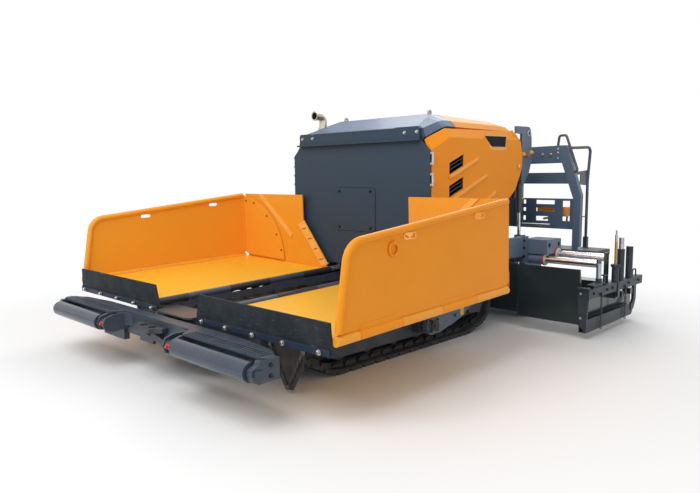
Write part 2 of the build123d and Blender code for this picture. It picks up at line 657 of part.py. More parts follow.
def footboard():
    """Standing board behind the screed: tread plate, edge channels and its two brackets."""
    half_y = 1365
    top = block(BOARD_REAR, BOARD_FRONT, -half_y, half_y, BOARD_TOP - 6, BOARD_TOP)
    front = block(BOARD_FRONT - 12, BOARD_FRONT, -half_y, half_y, 590, BOARD_TOP)
    rear = block(BOARD_REAR, BOARD_REAR + 12, -half_y, half_y, 590, BOARD_TOP)
    ends = block(BOARD_REAR, BOARD_FRONT, half_y - 12, half_y, 590, BOARD_TOP)
    bracket = side_plate(
        [(SCREED_REAR, 250), (SCREED_REAR, 400), (-2100, 592), (-2470, 592), (-2470, 562), (-2130, 540),
         (-1960, 300)], 380, 440)
    bracket += block(BOARD_REAR, BOARD_FRONT, 380, 440, 590, BOARD_TOP)
    return joined(top, front, rear, ends, mirrored(ends), bracket, mirrored(bracket))


def handrail():
    """Grab loop beside a leg, the side rail behind it with its post, socket and plate."""
    x = STAND_X - 30
    loop = bent_tube(
        [(x, 925, 1680), (x, 943, 1815), (x, 1017, 1815), (x, 1150, 1452), (x, 1085, 1424)], 26, 13)
    post_x = BOARD_REAR + 20
    rail = bent_tube(
        [(x, 1075, 1685), (post_x - 15, 1128, 1700), (post_x, 1112, 1350), (post_x, 1112, 655)], 50, 15)
    socket = block(post_x - 20, post_x + 20, 1090, 1134, BOARD_TOP, 760)
    plate = side_plate(
        [(STAND_BACK, 1442), (post_x, 1462), (post_x, 1302), (STAND_BACK, 1318)], 1104, 1112)
    plate -= side_plate([(-2205, 1412), (-2290, 1417), (-2290, 1345), (-2205, 1350)], 1100, 1116)
    bar = rod((STAND_BACK, 1150, 990), (post_x, 1112, 972), 6)
    return joined(loop, rail, socket, plate, bar)


def console():
    """Control desk behind the stand's panel, facing the rear."""
    outline = [(-2170, 900), (-2170, 1165), (-2180, 1240), (-2210, 1290), (-2340, 1240), (-2340, 1200),
               (-2240, 1080), (-2240, 900)]
    hollow = [(-2182, 890), (-2182, 1166), (-2191, 1234), (-2216, 1274), (-2326, 1231), (-2327, 1204),
              (-2228, 1084), (-2228, 890)]
    return side_plate(outline, -420, 420) - side_plate(hollow, -408, 408)


# ---------------------------------------------------------------- screed
GUIDES = [
    # x, z, outer end of the sleeve: an extension's two guide tubes
    (-1500, 612, 1150),
    (-1662, 655, 1195),
]
GUIDE_R = 35
BAYS = [(6, 350), (362, 699), (757, 803), (825, 919)]    # y ranges of the screed box's bays


def screed_box():
    """Hollow main screed: sole plate, walls, ribs and a top plate with an opening over each bay."""
    box = side_plate(
        [(SCREED_FRONT, 110), (SCREED_FRONT - 20, 75), (SCREED_REAR, 75), (SCREED_REAR, 400),
         (SCREED_FRONT - 60, 420), (SCREED_FRONT, 400)], -ARM_Y, ARM_Y)
    for y0, y1 in BAYS:
        bay = side_plate(
            [(SCREED_FRONT - 14, 112), (SCREED_FRONT - 24, 91), (SCREED_REAR + 14, 91),
             (SCREED_REAR + 14, 386), (SCREED_FRONT - 60, 406), (SCREED_FRONT - 14, 388)], y0, y1)
        inset = min(40, (y1 - y0) / 5)
        bay += block(SCREED_FRONT - 80, SCREED_REAR + 50, y0 + inset, y1 - inset, 380, 430)
        box -= bay
        box -= mirrored(bay)
    return box


def screed_frame():
    """Tow arms with their end flanges, guide sleeves and lift ears, standing on the screed box."""
    arm = side_plate(
        [(TOW_X + 40, TOW_Z + 70), (-22, 284), (-363, 300), (-900, 640), (-1000, 825), (-1390, 825),
         (-1390, 640), (-1040, 640), (-800, 470), (-363, 215), (-51, 137), (TOW_X + 40, 137)],
        ARM_Y, ARM_Y + 45)
    arm += rod((TOW_X, ARM_Y, TOW_Z), (TOW_X, ARM_Y + 45, TOW_Z), 80)
    arm += block(TOW_X - 56, TOW_X + 56, ARM_Y + 45, ARM_Y + 55, TOW_Z - 56, TOW_Z + 56)
    arm -= rod((TOW_X, ARM_Y - 1, TOW_Z), (TOW_X, ARM_Y + 60, TOW_Z), 30 + PIN_FIT)
    arm += rod((-261, ARM_Y + 44, 245), (-261, ARM_Y + 68, 245), 15)
    flange = block(-1450, -1390, ARM_Y, ARM_Y + 60, 430, 830)
    stub = block(-1735, -1450, ARM_Y, 1188, 662, 800) - block(-1721, -1464, ARM_Y + 60, 1174, 650, 786)
    drop = block(-1720, -1450, 900, ARM_Y + 60, 380, 720) - block(-1700, -1470, 912, ARM_Y + 48, 350, 700)
    ears = block(-1705, -1625, 740, 752, 380, 815) + block(-1705, -1625, 808, 820, 380, 815)
    half = joined(arm, flange, stub, drop, ears)
    for x, z, end in GUIDES:
        half += rod((x, 700, z), (x, end - 22, z), GUIDE_R + 14)
        half += rod((x, end - 22, z), (x, end, z), GUIDE_R + 20)
        half += block(x - 12, x + 12, 705, 725, 380, z)
    for x, z, end in GUIDES:
        half -= rod((x, 690, z), (x, 1210, z), GUIDE_R + PIN_FIT)
    for x, z in ((-1500, 748), (-1690, 748)):                # round holes in the housing's end
        half -= rod((x, 1150, z), (x, 1200, z), 24)
    half -= screed_box()
    return Compound(children=[half, mirrored(half)])


def lift_cylinder_parts():
    """Barrel and rod of one lift cylinder, from the mast down to the tow arm."""
    y = 771
    top, bottom = Vector(LIFT_TOP[0], y, LIFT_TOP[1]), Vector(LIFT_FOOT[0], y, LIFT_FOOT[1])
    along = (bottom - top).normalized()
    barrel = ring(tuple(top + along * 34), tuple(top + along * 440), 22, 17 + PIN_FIT)
    barrel += ring(tuple(top + along * 170), tuple(top + along * 440), 31, 17 + PIN_FIT)
    barrel += rod(tuple(top + along * 20), tuple(top + along * 40), 22)
    barrel += rod((top.X, y - 22, top.Z), (top.X, y + 22, top.Z), 32)
    barrel -= rod((top.X, y - 40, top.Z), (top.X, y + 40, top.Z), 16 + PIN_FIT)
    reach = (bottom - top).length
    piston = rod(tuple(top + along * 230), tuple(top + along * (reach - 18)), 17)
    piston += rod((bottom.X, y - 13, bottom.Z), (bottom.X, y + 13, bottom.Z), 26)
    return barrel, piston


AUGER_X, AUGER_Z = -1310, 330


def auger():
    """Half auger: shaft with a helical flight."""
    shaft = rod((AUGER_X, 62, AUGER_Z), (AUGER_X, 850, AUGER_Z), 30)
    radius, turns, length = 138, 3, 640
    flights = []
    steps = 12
    for number in range(turns * steps):
        y = 135 + length * number / (turns * steps)
        angle = 360 * number / steps
        blade = Pos(AUGER_X, y, AUGER_Z) * Rot(0, angle, 0) * Rot(22, 0, 0)
        sector = Pos(0, 0, radius / 2 + 8) * Box(radius * 0.56, 10, radius - 16)
        flights.append(blade * sector)
    return joined(shaft, *flights)


def auger_carrier():
    """Centre gear case, hangers and the fixed guide plates of the auger tunnel."""
    case = block(-1365, -1255, -55, 55, 250, DECK_Z)
    hanger = block(-1345, -1275, 856, 880, 270, 600) + block(-1345, -1275, 540, 880, 600, 620)
    guide = front_plate(
        [(560, 150), (1062, 150), (1062, 600), (760, 600), (760, DECK_Z), (560, DECK_Z)], -1150, -1138)
    guide += block(-1230, -1150, 560, 640, 520, DECK_Z)
    return case, hanger, guide


END_Y = 1660               # inner face of an extension's end plate
POSTS = [
    # x, radius, top of the rod, top of the gate's sleeve on it; the first is the lifting screw
    (-1749, 13, 862, 590),
    (-1871, 23, 828, 722),
    (-2077, 23, 733, 729),
]
POST_Y = 1716
SLEEVE_R = 32              # sleeves of the gate on these rods


def extension():
    """Sliding screed extension: hollow box, end plate, guide tubes, front plate, brackets."""
    y0, y1 = END_Y, END_Y + 12
    end = side_plate(
        [(-1103, 125), (-1103, 604), (-1118, 604), (-1150, 420), (-2240, 420), (-2260, 150), (-2080, 90),
         (-1160, 90)], y0, y1)
    box = side_plate(
        [(-1950, 92), (-1950, 380), (-2255, 360), (-2255, 112), (-2230, 82), (-1970, 82)], 960, END_Y + 4)
    box -= side_plate(
        [(-1962, 100), (-1962, 367), (-2243, 349), (-2243, 115), (-2224, 94), (-1975, 94)], 950, END_Y - 8)
    front = block(-1115, -1103, 1085, y1, 125, 604)
    tubes = [rod((x, 640, z), (x, END_Y + 6, z), GUIDE_R) for x, z, end_y in GUIDES]
    clamps = [block(x - 42, x + 42, y0, y1, 416, z + 46) for x, z, end_y in GUIDES]
    brackets = [block(x - 24, x + 24, y1 - 4, POST_Y + r + 8, 275, 330) for x, r, top, sleeve in POSTS]
    return joined(end, box, front, *tubes, *clamps, *brackets)


def gate_guides():
    """Screw and two posts that stand on the extension's brackets and guide its end gate."""
    rods = [rod((x, POST_Y, 330), (x, POST_Y, top), r) for x, r, top, sleeve in POSTS]
    x, r, top, sleeve = POSTS[0]
    rods[0] = joined(rods[0], rod((x, POST_Y, top), (x, POST_Y, top + 42), 8))
    return Compound(children=rods)


def end_gate():
    """Height-adjustable side gate: channel beam, skid, front plate, sleeves, chains."""
    nose, tail = -1095, -2345
    beam = block(tail, nose, 1684, 1748, 350, 430) - block(tail + 8, nose - 8, 1690, 1742, 345, 422)
    front = front_plate(
        [(1662, 450), (GATE_Y, 447), (GATE_Y - 3, 345), (1742, 62), (1684, 125)], nose, nose + 12)
    lip = block(nose - 5, nose + 35, 1660, GATE_Y, 445, 456)
    skid_side = [(nose + 6, 64), (nose - 5, 175), (-2130, 175), (-2150, 118), (-2112, 70), (-1130, 60)]
    skid_core = [(nose + 40, 72), (nose + 40, 190), (-2180, 190), (-2180, 124), (-2108, 78), (-1124, 68)]
    skid = side_plate(skid_side, 1678, 1740) - side_plate(skid_core, 1686, 1732)
    post = side_plate(
        [(-2195, 352), (-2195, 215), (-2150, 130), (-2105, 112), (-2080, 122), (-2080, 172), (-2112, 178),
         (-2140, 218), (-2140, 352)], 1724, 1748)
    pieces = [beam, front, lip, skid, post]
    for x, r, top, high in POSTS:
        pieces.append(rod((x, POST_Y, 335 if r < 20 else 420), (x, POST_Y, high), SLEEVE_R))
        if r < 20:
            pieces.append(rod((x, POST_Y, high - 22), (x, POST_Y, high), 42))
            pieces.append(block(x - 20, x + 20, 1740, 1756, 290, 425))
    # top bracket with its small cylinder, the handle and the two hanging chains
    shelf = block(-1440, -1195, 1690, 1750, 428, 436) + block(-1440, -1195, 1690, 1750, 458, 466)
    shelf += block(-1400, -1240, 1700, 1740, 434, 460)
    shelf -= rod((-1236, 1720, 420), (-1236, 1720, 480), 12)
    pieces += [shelf, rod((-1388, POST_Y, 462), (-1388, POST_Y, 500), 27),
               rod((-1388, POST_Y, 462), (-1388, POST_Y, 628), 20)]
    pieces += [block(-1510, -1494, 1708, 1724, 428, 520), block(-1532, -1472, 1700, 1732, 512, 522)]
    pieces.append(bent_tube(
        [(-2170, POST_Y, 425), (-2170, POST_Y, 497), (-2252, POST_Y, 497), (-2252, POST_Y, 425)], 20, 7))
    for x in (-1369, -1911):
        pieces.append(block(x - 12, x + 12, 1744, 1763, 352, 380))
        pieces.append(chain((x, 1755, 366), (x, 1755, 62), 13))
    gate = joined(*pieces)
    for x, r, top, sleeve in POSTS:
        gate -= rod((x, POST_Y, 332), (x, POST_Y, 760), r + PIN_FIT)
    return gate


def main():
    os.makedirs("parts", exist_ok=True)
    save("chassis_frame", chassis())
    save("engine_deck", engine_deck())
    save("conveyor_floor", conveyor())
    save("conveyor_slats", conveyor_slats())
    save_pair("track_loop", track_loop(TRACK_Y))
    save_pair("track_wheels", track_wheels())
    save_pair("track_frame", track_frame())
    save_pair("hopper_wing", wing())
    save_pair("front_flap", front_flap())
    save_pair("side_wall", side_wall())
    save("push_carrier", push_carrier())
    save("push_beam", push_beam())
    save("tow_hook", tow_hook())
    save_pair("push_roller", push_roller())
    save_pair("track_deflector", track_deflector())
    save("hood_front", hood_front())
    save("hood_top", hood_top())
    save("hood_rear", hood_rear())
    save_pair("side_door", side_door())
    save("exhaust", max((exhaust() - hood_front()).solids(), key=lambda solid: solid.volume))
    save("engine_block", block(-1000, -200, -350, 350, 600, 1400))
    save_pair("rear_mast", rear_mast())
    save("stand_frame", stand_frame())
    save("footboard", footboard())
    save("console", console())
    rail = handrail() - stand_frame()
    save("handrails", Compound(children=[rail, mirrored(rail)]))
    save("screed_box", screed_box())
    save("screed_frame", screed_frame())
    barrel, piston = lift_cylinder_parts()
    save("lift_barrels", Compound(children=[barrel, mirrored(barrel)]))
    save("lift_rods", Compound(children=[piston, mirrored(piston)]))
    save_pair("auger", auger())
    case, half, guide = auger_carrier()
    save("auger_carrier", Compound(children=[case, half, mirrored(half)]))
    save("tunnel_plates", Compound(children=[guide, mirrored(guide)]))
    save_pair("extension", extension())
    save_pair("gate_guides", gate_guides())
    save_pair("end_gate", end_gate())


main()
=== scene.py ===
import bmesh
import bpy
import math
import numpy as np
from mathutils import Matrix, Vector


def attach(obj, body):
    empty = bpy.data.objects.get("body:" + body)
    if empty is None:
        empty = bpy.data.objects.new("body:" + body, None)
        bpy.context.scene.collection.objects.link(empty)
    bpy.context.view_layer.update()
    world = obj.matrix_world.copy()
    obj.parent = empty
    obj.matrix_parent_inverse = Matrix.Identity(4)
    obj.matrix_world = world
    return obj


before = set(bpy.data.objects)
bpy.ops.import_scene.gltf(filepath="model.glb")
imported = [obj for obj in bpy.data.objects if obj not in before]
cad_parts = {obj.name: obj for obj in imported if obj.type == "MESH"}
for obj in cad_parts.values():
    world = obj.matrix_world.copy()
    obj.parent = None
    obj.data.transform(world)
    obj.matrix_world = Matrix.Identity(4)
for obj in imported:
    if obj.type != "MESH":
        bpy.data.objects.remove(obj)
bpy.context.scene.view_settings.view_transform = "Standard"
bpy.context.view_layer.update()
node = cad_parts

# ---------------------------------------------------------------- crawler tracks
# Rubber-padded shoes on a steel link chain round cast rollers, in a welded frame painted slate.
# Asphalt dust and dried mud sit in the low places, thickest near the ground.


def weather_group():
    """Masks over object coordinates: broad patches, fine grain, long scratches, and dust that thins
    with height."""
    group = bpy.data.node_groups.new("weather", "ShaderNodeTree")
    for label, kind, way in (("Vector", "NodeSocketVector", "INPUT"), ("Scale", "NodeSocketFloat", "INPUT"),
                             ("Patch", "NodeSocketFloat", "OUTPUT"), ("Grain", "NodeSocketFloat", "OUTPUT"),
                             ("Scratch", "NodeSocketFloat", "OUTPUT"), ("Dust", "NodeSocketFloat", "OUTPUT")):
        group.interface.new_socket(label, in_out=way, socket_type=kind)
    nodes, links = group.nodes, group.links
    enter, leave = nodes.new("NodeGroupInput"), nodes.new("NodeGroupOutput")

    def noise(scale, detail, vector, low, high):
        texture = nodes.new("ShaderNodeTexNoise")
        texture.inputs["Detail"].default_value = detail
        if scale:
            texture.inputs["Scale"].default_value = scale
        else:
            links.new(enter.outputs["Scale"], texture.inputs["Scale"])
        links.new(vector, texture.inputs["Vector"])
        ramp = nodes.new("ShaderNodeMapRange")
        ramp.inputs["From Min"].default_value = low
        ramp.inputs["From Max"].default_value = high
        links.new(texture.outputs["Fac"], ramp.inputs["Value"])
        return ramp.outputs["Result"]

    links.new(noise(0, 4, enter.outputs["Vector"], 0.42, 0.68), leave.inputs["Patch"])
    links.new(noise(230, 3, enter.outputs["Vector"], 0.25, 0.75), leave.inputs["Grain"])
    stretch = nodes.new("ShaderNodeMapping")
    stretch.inputs["Rotation"].default_value = (0.2, 0.35, 0.6)
    stretch.inputs["Scale"].default_value = (2.5, 4, 60)
    links.new(enter.outputs["Vector"], stretch.inputs["Vector"])
    links.new(noise(3, 2, stretch.outputs["Vector"], 0.66, 0.72), leave.inputs["Scratch"])
    split = nodes.new("ShaderNodeSeparateXYZ")
    links.new(enter.outputs["Vector"], split.inputs["Vector"])
    clean_above, thick_below = 0.75, 0.02
    height = nodes.new("ShaderNodeMapRange")
    height.inputs["From Min"].default_value = clean_above
    height.inputs["From Max"].default_value = thick_below
    links.new(split.outputs["Z"], height.inputs["Value"])
    dust = nodes.new("ShaderNodeMath")
    dust.operation = "MULTIPLY"
    links.new(height.outputs["Result"], dust.inputs[0])
    links.new(noise(9, 5, enter.outputs["Vector"], 0.38, 0.7), dust.inputs[1])
    links.new(dust.outputs["Value"], leave.inputs["Dust"])
    return group


def zone_group():
    """1 inside a box given by its low and high corner, 0 outside; left and right are folded together
    by |y|."""
    group = bpy.data.node_groups.new("zone", "ShaderNodeTree")
    for label in ("Vector", "Low", "High"):
        group.interface.new_socket(label, in_out="INPUT", socket_type="NodeSocketVector")
    group.interface.new_socket("Mask", in_out="OUTPUT", socket_type="NodeSocketFloat")
    nodes, links = group.nodes, group.links
    enter, leave = nodes.new("NodeGroupInput"), nodes.new("NodeGroupOutput")
    split, fold, merge = (nodes.new("ShaderNode" + kind) for kind in ("SeparateXYZ", "Math", "CombineXYZ"))
    fold.operation = "ABSOLUTE"
    links.new(enter.outputs["Vector"], split.inputs["Vector"])
    links.new(split.outputs["Y"], fold.inputs[0])
    for axis, source in (("X", split.outputs["X"]), ("Y", fold.outputs[0]), ("Z", split.outputs["Z"])):
        links.new(source, merge.inputs[axis])
    mask, folded = None, merge.outputs[0]
    for first, second in ((folded, enter.outputs["Low"]), (enter.outputs["High"], folded)):
        gap = nodes.new("ShaderNodeVectorMath")
        gap.operation = "SUBTRACT"
        links.new(first, gap.inputs[0])
        links.new(second, gap.inputs[1])
        parts = nodes.new("ShaderNodeSeparateXYZ")
        links.new(gap.outputs["Vector"], parts.inputs["Vector"])
        for axis in "XYZ":
            step = nodes.new("ShaderNodeMath")
            step.operation = "GREATER_THAN"
            step.inputs[1].default_value = 0
            links.new(parts.outputs[axis], step.inputs[0])
            if mask:
                joined = nodes.new("ShaderNodeMath")
                joined.operation = "MULTIPLY"
                links.new(mask, joined.inputs[0])
                links.new(step.outputs[0], joined.inputs[1])
                mask = joined.outputs[0]
            else:
                mask = step.outputs[0]
    links.new(mask, leave.inputs["Mask"])
    return group


WEATHER, ZONE = weather_group(), zone_group()
FAR = 9                         # a zone's side that is left open
DUST, DUST_ROUGH = (0.16, 0.145, 0.125), 0.85
COAT_ROUGH, GRAIN_DEPTH = 0.12, 0.002


def finish(name, colour, worn, rough=0.4, metal=0.0, coat=0.0, scale=6, patch=0.35, bump=0.05,
           dust=0.0, scratch=0.0, zones=(), specular=0.5):
    """A finish on object coordinates: base colour going to a worn colour in patches, scratches and low
    dust over it, grain in roughness and bump.  zones are (low, high, colour, rough, metal) boxes of
    other finishes on the same piece."""
    material = bpy.data.materials.new(name)
    material.use_nodes = True
    nodes, links = material.node_tree.nodes, material.node_tree.links
    shader = nodes["Principled BSDF"]
    where = nodes.new("ShaderNodeTexCoord").outputs["Object"]
    weather = nodes.new("ShaderNodeGroup")
    weather.node_tree = WEATHER
    weather.inputs["Scale"].default_value = scale
    links.new(where, weather.inputs["Vector"])

    def blended(kind, first, second, factor, share=1.0):
        mix = nodes.new("ShaderNodeMix")
        mix.data_type = kind
        place = {"FLOAT": (2, 3), "RGBA": (6, 7)}[kind]
        for socket, value in zip(place, (first, second)):
            if isinstance(value, (int, float)):
                mix.inputs[socket].default_value = value
            elif isinstance(value, tuple):
                mix.inputs[socket].default_value = (*value, 1)
            else:
                links.new(value, mix.inputs[socket])
        if share != 1.0:
            part = nodes.new("ShaderNodeMath")
            part.operation = "MULTIPLY"
            part.inputs[1].default_value = share
            links.new(factor, part.inputs[0])
            factor = part.outputs[0]
        links.new(factor, mix.inputs[0])
        return mix.outputs[{"FLOAT": 0, "RGBA": 2}[kind]]

    paint = blended("RGBA", colour, worn, weather.outputs["Patch"], patch)
    spread = nodes.new("ShaderNodeMapRange")
    spread.inputs["To Min"].default_value = rough - 0.06
    spread.inputs["To Max"].default_value = rough + 0.08
    links.new(weather.outputs["Grain"], spread.inputs["Value"])
    gloss, shine = spread.outputs["Result"], metal
    for low, high, other, other_rough, other_metal in zones:
        box = nodes.new("ShaderNodeGroup")
        box.node_tree = ZONE
        box.inputs["Low"].default_value = low
        box.inputs["High"].default_value = high
        links.new(where, box.inputs["Vector"])
        paint = blended("RGBA", paint, other, box.outputs["Mask"])
        gloss = blended("FLOAT", gloss, other_rough, box.outputs["Mask"])
        shine = blended("FLOAT", shine, other_metal, box.outputs["Mask"])
    if scratch:
        scraped = tuple(0.5 * c + 0.25 for c in worn)
        paint = blended("RGBA", paint, scraped, weather.outputs["Scratch"], scratch)
    if dust:
        paint = blended("RGBA", paint, DUST, weather.outputs["Dust"], dust)
        gloss = blended("FLOAT", gloss, DUST_ROUGH, weather.outputs["Dust"], dust)
    links.new(paint, shader.inputs["Base Color"])
    links.new(gloss, shader.inputs["Roughness"])
    if zones:
        links.new(shine, shader.inputs["Metallic"])
    else:
        shader.inputs["Metallic"].default_value = metal
    shader.inputs["Coat Weight"].default_value = coat
    shader.inputs["Coat Roughness"].default_value = COAT_ROUGH
    shader.inputs["Specular IOR Level"].default_value = specular
    relief = nodes.new("ShaderNodeBump")
    relief.inputs["Strength"].default_value = bump
    relief.inputs["Distance"].default_value = GRAIN_DEPTH
    links.new(weather.outputs["Grain"], relief.inputs["Height"])
    links.new(relief.outputs["Normal"], shader.inputs["Normal"])
    return material


def dress(material, *names):
    """Give these nodes of the frame one material."""
    for name in names:
        node[name].data.materials.clear()
        node[name].data.materials.append(material)


SIDES = (("left", 1), ("right", -1))


def both(name):
    """The names of a node's left and right copies."""
    return name + "_left", name + "_right"


def mesh_piece(name, points, faces, material, body):
    """Mesh from points and faces, with its doubled points merged and its faces turned outwards, riding
    on one body."""
    data = bpy.data.meshes.new(name)
    data.from_pydata(points.reshape(-1, 3).tolist(), [], faces.tolist())
    work = bmesh.new()
    work.from_mesh(data)
    bmesh.ops.remove_doubles(work, verts=work.verts, dist=1e-6)
    bmesh.ops.dissolve_degenerate(work, dist=1e-7, edges=work.edges)
    bmesh.ops.recalc_face_normals(work, faces=work.faces)
    work.to_mesh(data)
    work.free()
    data.materials.append(material)
    for polygon in data.polygons:
        polygon.use_smooth = False
    piece = bpy.data.objects.new(name, data)
    bpy.context.scene.collection.objects.link(piece)
    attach(piece, body)
    return piece


def quads(copies, rows, columns):
    """Quads of several rows x columns grids of points, each closed round its columns."""
    r, c = np.meshgrid(np.arange(rows - 1), np.arange(columns), indexing="ij")
    n = (c + 1) % columns
    low, high = r * columns, (r + 1) * columns
    one = np.stack([low + c, low + n, high + n, high + c], -1).reshape(-1, 4)
    return (one[None] + np.arange(copies)[:, None, None] * rows * columns).reshape(-1, 4)


X0 = 0.168                                      # the drawings' origin along the frame's x axis
SHOES = 38
TRACK_Y, PAD_HALF, LINK_Y, LINK_HALF = 0.750, 0.136, 0.066, 0.009
IDLER, IDLER_R, SPROCKET, SPROCKET_R = (1.235, 0.280), 0.170, (-0.760, 0.250), 0.205
GROUND_FRONT, GROUND_REAR = (1.056, 0.0), (-0.602, 0.0)


def track_line(stations):
    """Places and directions on the shoes' outer line, at stations counted in shoes from the rear end of the
    ground run.  The line is ground, rise, idler arc, top run, sprocket arc, fall; each arc is
    centre + R (cos a, sin a), and a station's place is found along the summed lengths."""
    def touch(centre, radius, point, way):
        away = np.array(centre) - point
        reach = np.hypot(*away)
        turn = math.atan2(away[1], away[0]) + way * math.asin(radius / reach)
        straight = math.sqrt(reach ** 2 - radius ** 2)
        return np.array(point) + straight * np.array([math.cos(turn), math.sin(turn)])

    def arc(centre, radius, first, last):
        turn = np.linspace(first, last, 60)
        return np.array(centre) + radius * np.stack([np.cos(turn), np.sin(turn)], -1)

    def bearing(centre, point):
        return math.atan2(point[1] - centre[1], point[0] - centre[0])

    span = np.subtract(IDLER, SPROCKET)
    top = math.atan2(span[1], span[0]) + math.pi / 2 - math.asin((SPROCKET_R - IDLER_R) / np.hypot(*span))
    rise, fall = touch(IDLER, IDLER_R, GROUND_FRONT, -1), touch(SPROCKET, SPROCKET_R, GROUND_REAR, 1)
    line = np.concatenate([[GROUND_REAR, GROUND_FRONT], arc(IDLER, IDLER_R, bearing(IDLER, rise), top),
                           arc(SPROCKET, SPROCKET_R, top, bearing(SPROCKET, fall) + 2 * math.pi),
                           [GROUND_REAR]])
    length = np.concatenate([[0], np.cumsum(np.hypot(*np.diff(line, axis=0).T))])

    def at(where):
        where = np.mod(where, 1) * length[-1]
        return np.stack([np.interp(where, length, line[:, 0]), np.interp(where, length, line[:, 1])], -1)

    share, nudge = (np.asarray(stations) + 0.5) / SHOES, 2e-4
    ahead = at(share + nudge) - at(share - nudge)
    return at(share), ahead / np.hypot(*ahead.T)[:, None]


def shoe_blocks(name, section, y_from, y_to, bevel, material):
    """One block on every shoe: its section of (u along, h inwards) stands at place + u a + h n on the track's
    line and is carried from one y to the other, shrunk by the bevel at both ends and closed there."""
    places, ahead = track_line(np.arange(SHOES))
    inward = np.stack([-ahead[:, 1], ahead[:, 0]], -1)
    section = np.array(section)
    middle = section.mean(axis=0)
    small = middle + (section - middle) * (1 - 2 * bevel / np.ptp(section[:, 1]))
    rows = [(middle + 0 * section, y_from), (small, y_from), (section, y_from + bevel),
            (section, y_to - bevel), (small, y_to), (middle + 0 * section, y_to)]
    points = np.empty((SHOES, len(rows), len(section), 3))
    for row, (outline, y) in enumerate(rows):
        flat = places[:, None] + outline[:, :1] * ahead[:, None] + outline[:, 1:] * inward[:, None]
        points[:, row, :, 0] = flat[..., 0] + X0
        points[:, row, :, 1] = y
        points[:, row, :, 2] = flat[..., 1]
    return mesh_piece(name, points, quads(SHOES, len(rows), len(section)), material, "tractor")


SLATE, SLATE_WORN = (0.052, 0.075, 0.112), (0.075, 0.095, 0.125)
rubber = finish("track_rubber", (0.016, 0.021, 0.027), (0.036, 0.042, 0.050), 0.62, scale=14, patch=0.5,
                bump=0.3, dust=0.2)
wheels = finish("cast_wheels", (0.030, 0.034, 0.040), (0.055, 0.055, 0.058), 0.5, metal=0.5, scale=18,
                patch=0.6, bump=0.3, dust=0.3)
frames = finish("track_frame_paint", (0.036, 0.050, 0.072), SLATE, 0.45, coat=0.1, dust=0.35, zones=(
    ((-FAR, 1.0002, 0), (FAR, 1.0099, FAR), (0.52, 0.38, 0.14), 0.3, 1.0),      # brass ring of the tow pin
    ((-FAR, 1.0099, 0), (FAR, 1.1, FAR), (0.05, 0.048, 0.045), 0.4, 0.6)))      # its dark end cap
dress(rubber, *both("track_loop"))
dress(wheels, *both("track_wheels"))
dress(frames, *both("track_frame"))
PAD = ((-0.057, 0.026), (-0.057, 0.005), (-0.051, 0.0005), (0.051, 0.0005), (0.057, 0.005), (0.057, 0.026))
LINK = ((-0.058, 0.030), (-0.058, 0.050), (-0.030, 0.064), (0.030, 0.064), (0.058, 0.050), (0.058, 0.030))
for side, sign in SIDES:
    middle = sign * TRACK_Y
    shoe_blocks(f"track_pads_{side}", PAD, middle - PAD_HALF, middle + PAD_HALF, 0.003, rubber)
    for number, offset in enumerate((-LINK_Y, LINK_Y)):
        y = middle + offset
        shoe_blocks(f"track_links_{number}_{side}", LINK, y - LINK_HALF, y + LINK_HALF, 0.002, wheels)

# ---------------------------------------------------------------- chassis, feed tunnel and augers
# Welded plate frame in slate paint, with a nose plate that hot mix has worn to dull grey steel.
# Tunnel floor, slats and augers are hard steel under a dark film of asphalt.
chassis = finish("chassis_paint", SLATE, (0.04, 0.045, 0.055), 0.45, coat=0.1, dust=0.3, zones=(
    ((1.70, -1, 0.429), (FAR, 0.30, FAR), (0.085, 0.082, 0.085), 0.34, 0.4),))      # nose plate
film = finish("asphalt_steel", (0.16, 0.155, 0.15), (0.035, 0.032, 0.03), 0.42, metal=0.8, scale=10,
              patch=0.85, bump=0.3, scratch=0.5)
screws = finish("auger_steel", (0.10, 0.09, 0.08), (0.03, 0.028, 0.026), 0.4, metal=0.8, scale=16,
                patch=0.7, bump=0.25)
dress(chassis, "chassis_frame", "engine_deck", "auger_carrier")
dress(film, "conveyor_floor", "conveyor_slats")
dress(screws, *both("auger"))
dress(finish("engine_cast", (0.05, 0.05, 0.052), (0.03, 0.03, 0.03), 0.6, bump=0.3), "engine_block")

# ---------------------------------------------------------------- hopper
# Folded steel wings and side walls in gloss orange paint, with pin hinges along both edges of a
# wing.  Rubber flaps are clamped to their fronts by a bolted strip.
ORANGE, ORANGE_WORN, PALE_ORANGE = (0.86, 0.292, 0.007), (0.78, 0.262, 0.006), (0.95, 0.48, 0.12)
wings = finish("hopper_paint", (0.86, 0.35, 0.026), (0.80, 0.31, 0.02), 0.42, coat=0.06, patch=0.3,
               bump=0.03, scratch=0.10, specular=0.3, zones=(
    ((0.15, 0.344, 0.40), (FAR, 1.566, 0.66), (0.93, 0.49, 0.032), 0.34, 0.0),      # floor, paler
    ((-FAR, 0.0, 0.40), (FAR, 0.344, 0.585), (0.045, 0.05, 0.06), 0.4, 0.3)))       # inner hinge knuckles
walls = finish("wall_paint", ORANGE, ORANGE_WORN, 0.40, coat=0.05, patch=0.25, bump=0.03, scratch=0.05,
               specular=0.2, zones=(
    ((-FAR, 0.5, 0.50), (FAR, 1.598, FAR), (0.88, 0.36, 0.032), 0.40, 0.0),))       # inner face, painted paler: painted light on its shaded side
ribs = finish("strip_paint", PALE_ORANGE, ORANGE, 0.42, coat=0.06, patch=0.35, bump=0.03, specular=0.3)
flaps = finish("flap_rubber", (0.008, 0.014, 0.020), (0.020, 0.027, 0.034), 0.66, scale=9, patch=0.6,
               bump=0.2, dust=0.2, scratch=0.3, specular=0.3)
dress(wings, *both("hopper_wing"))
dress(walls, *both("side_wall"))
dress(flaps, *both("front_flap"))


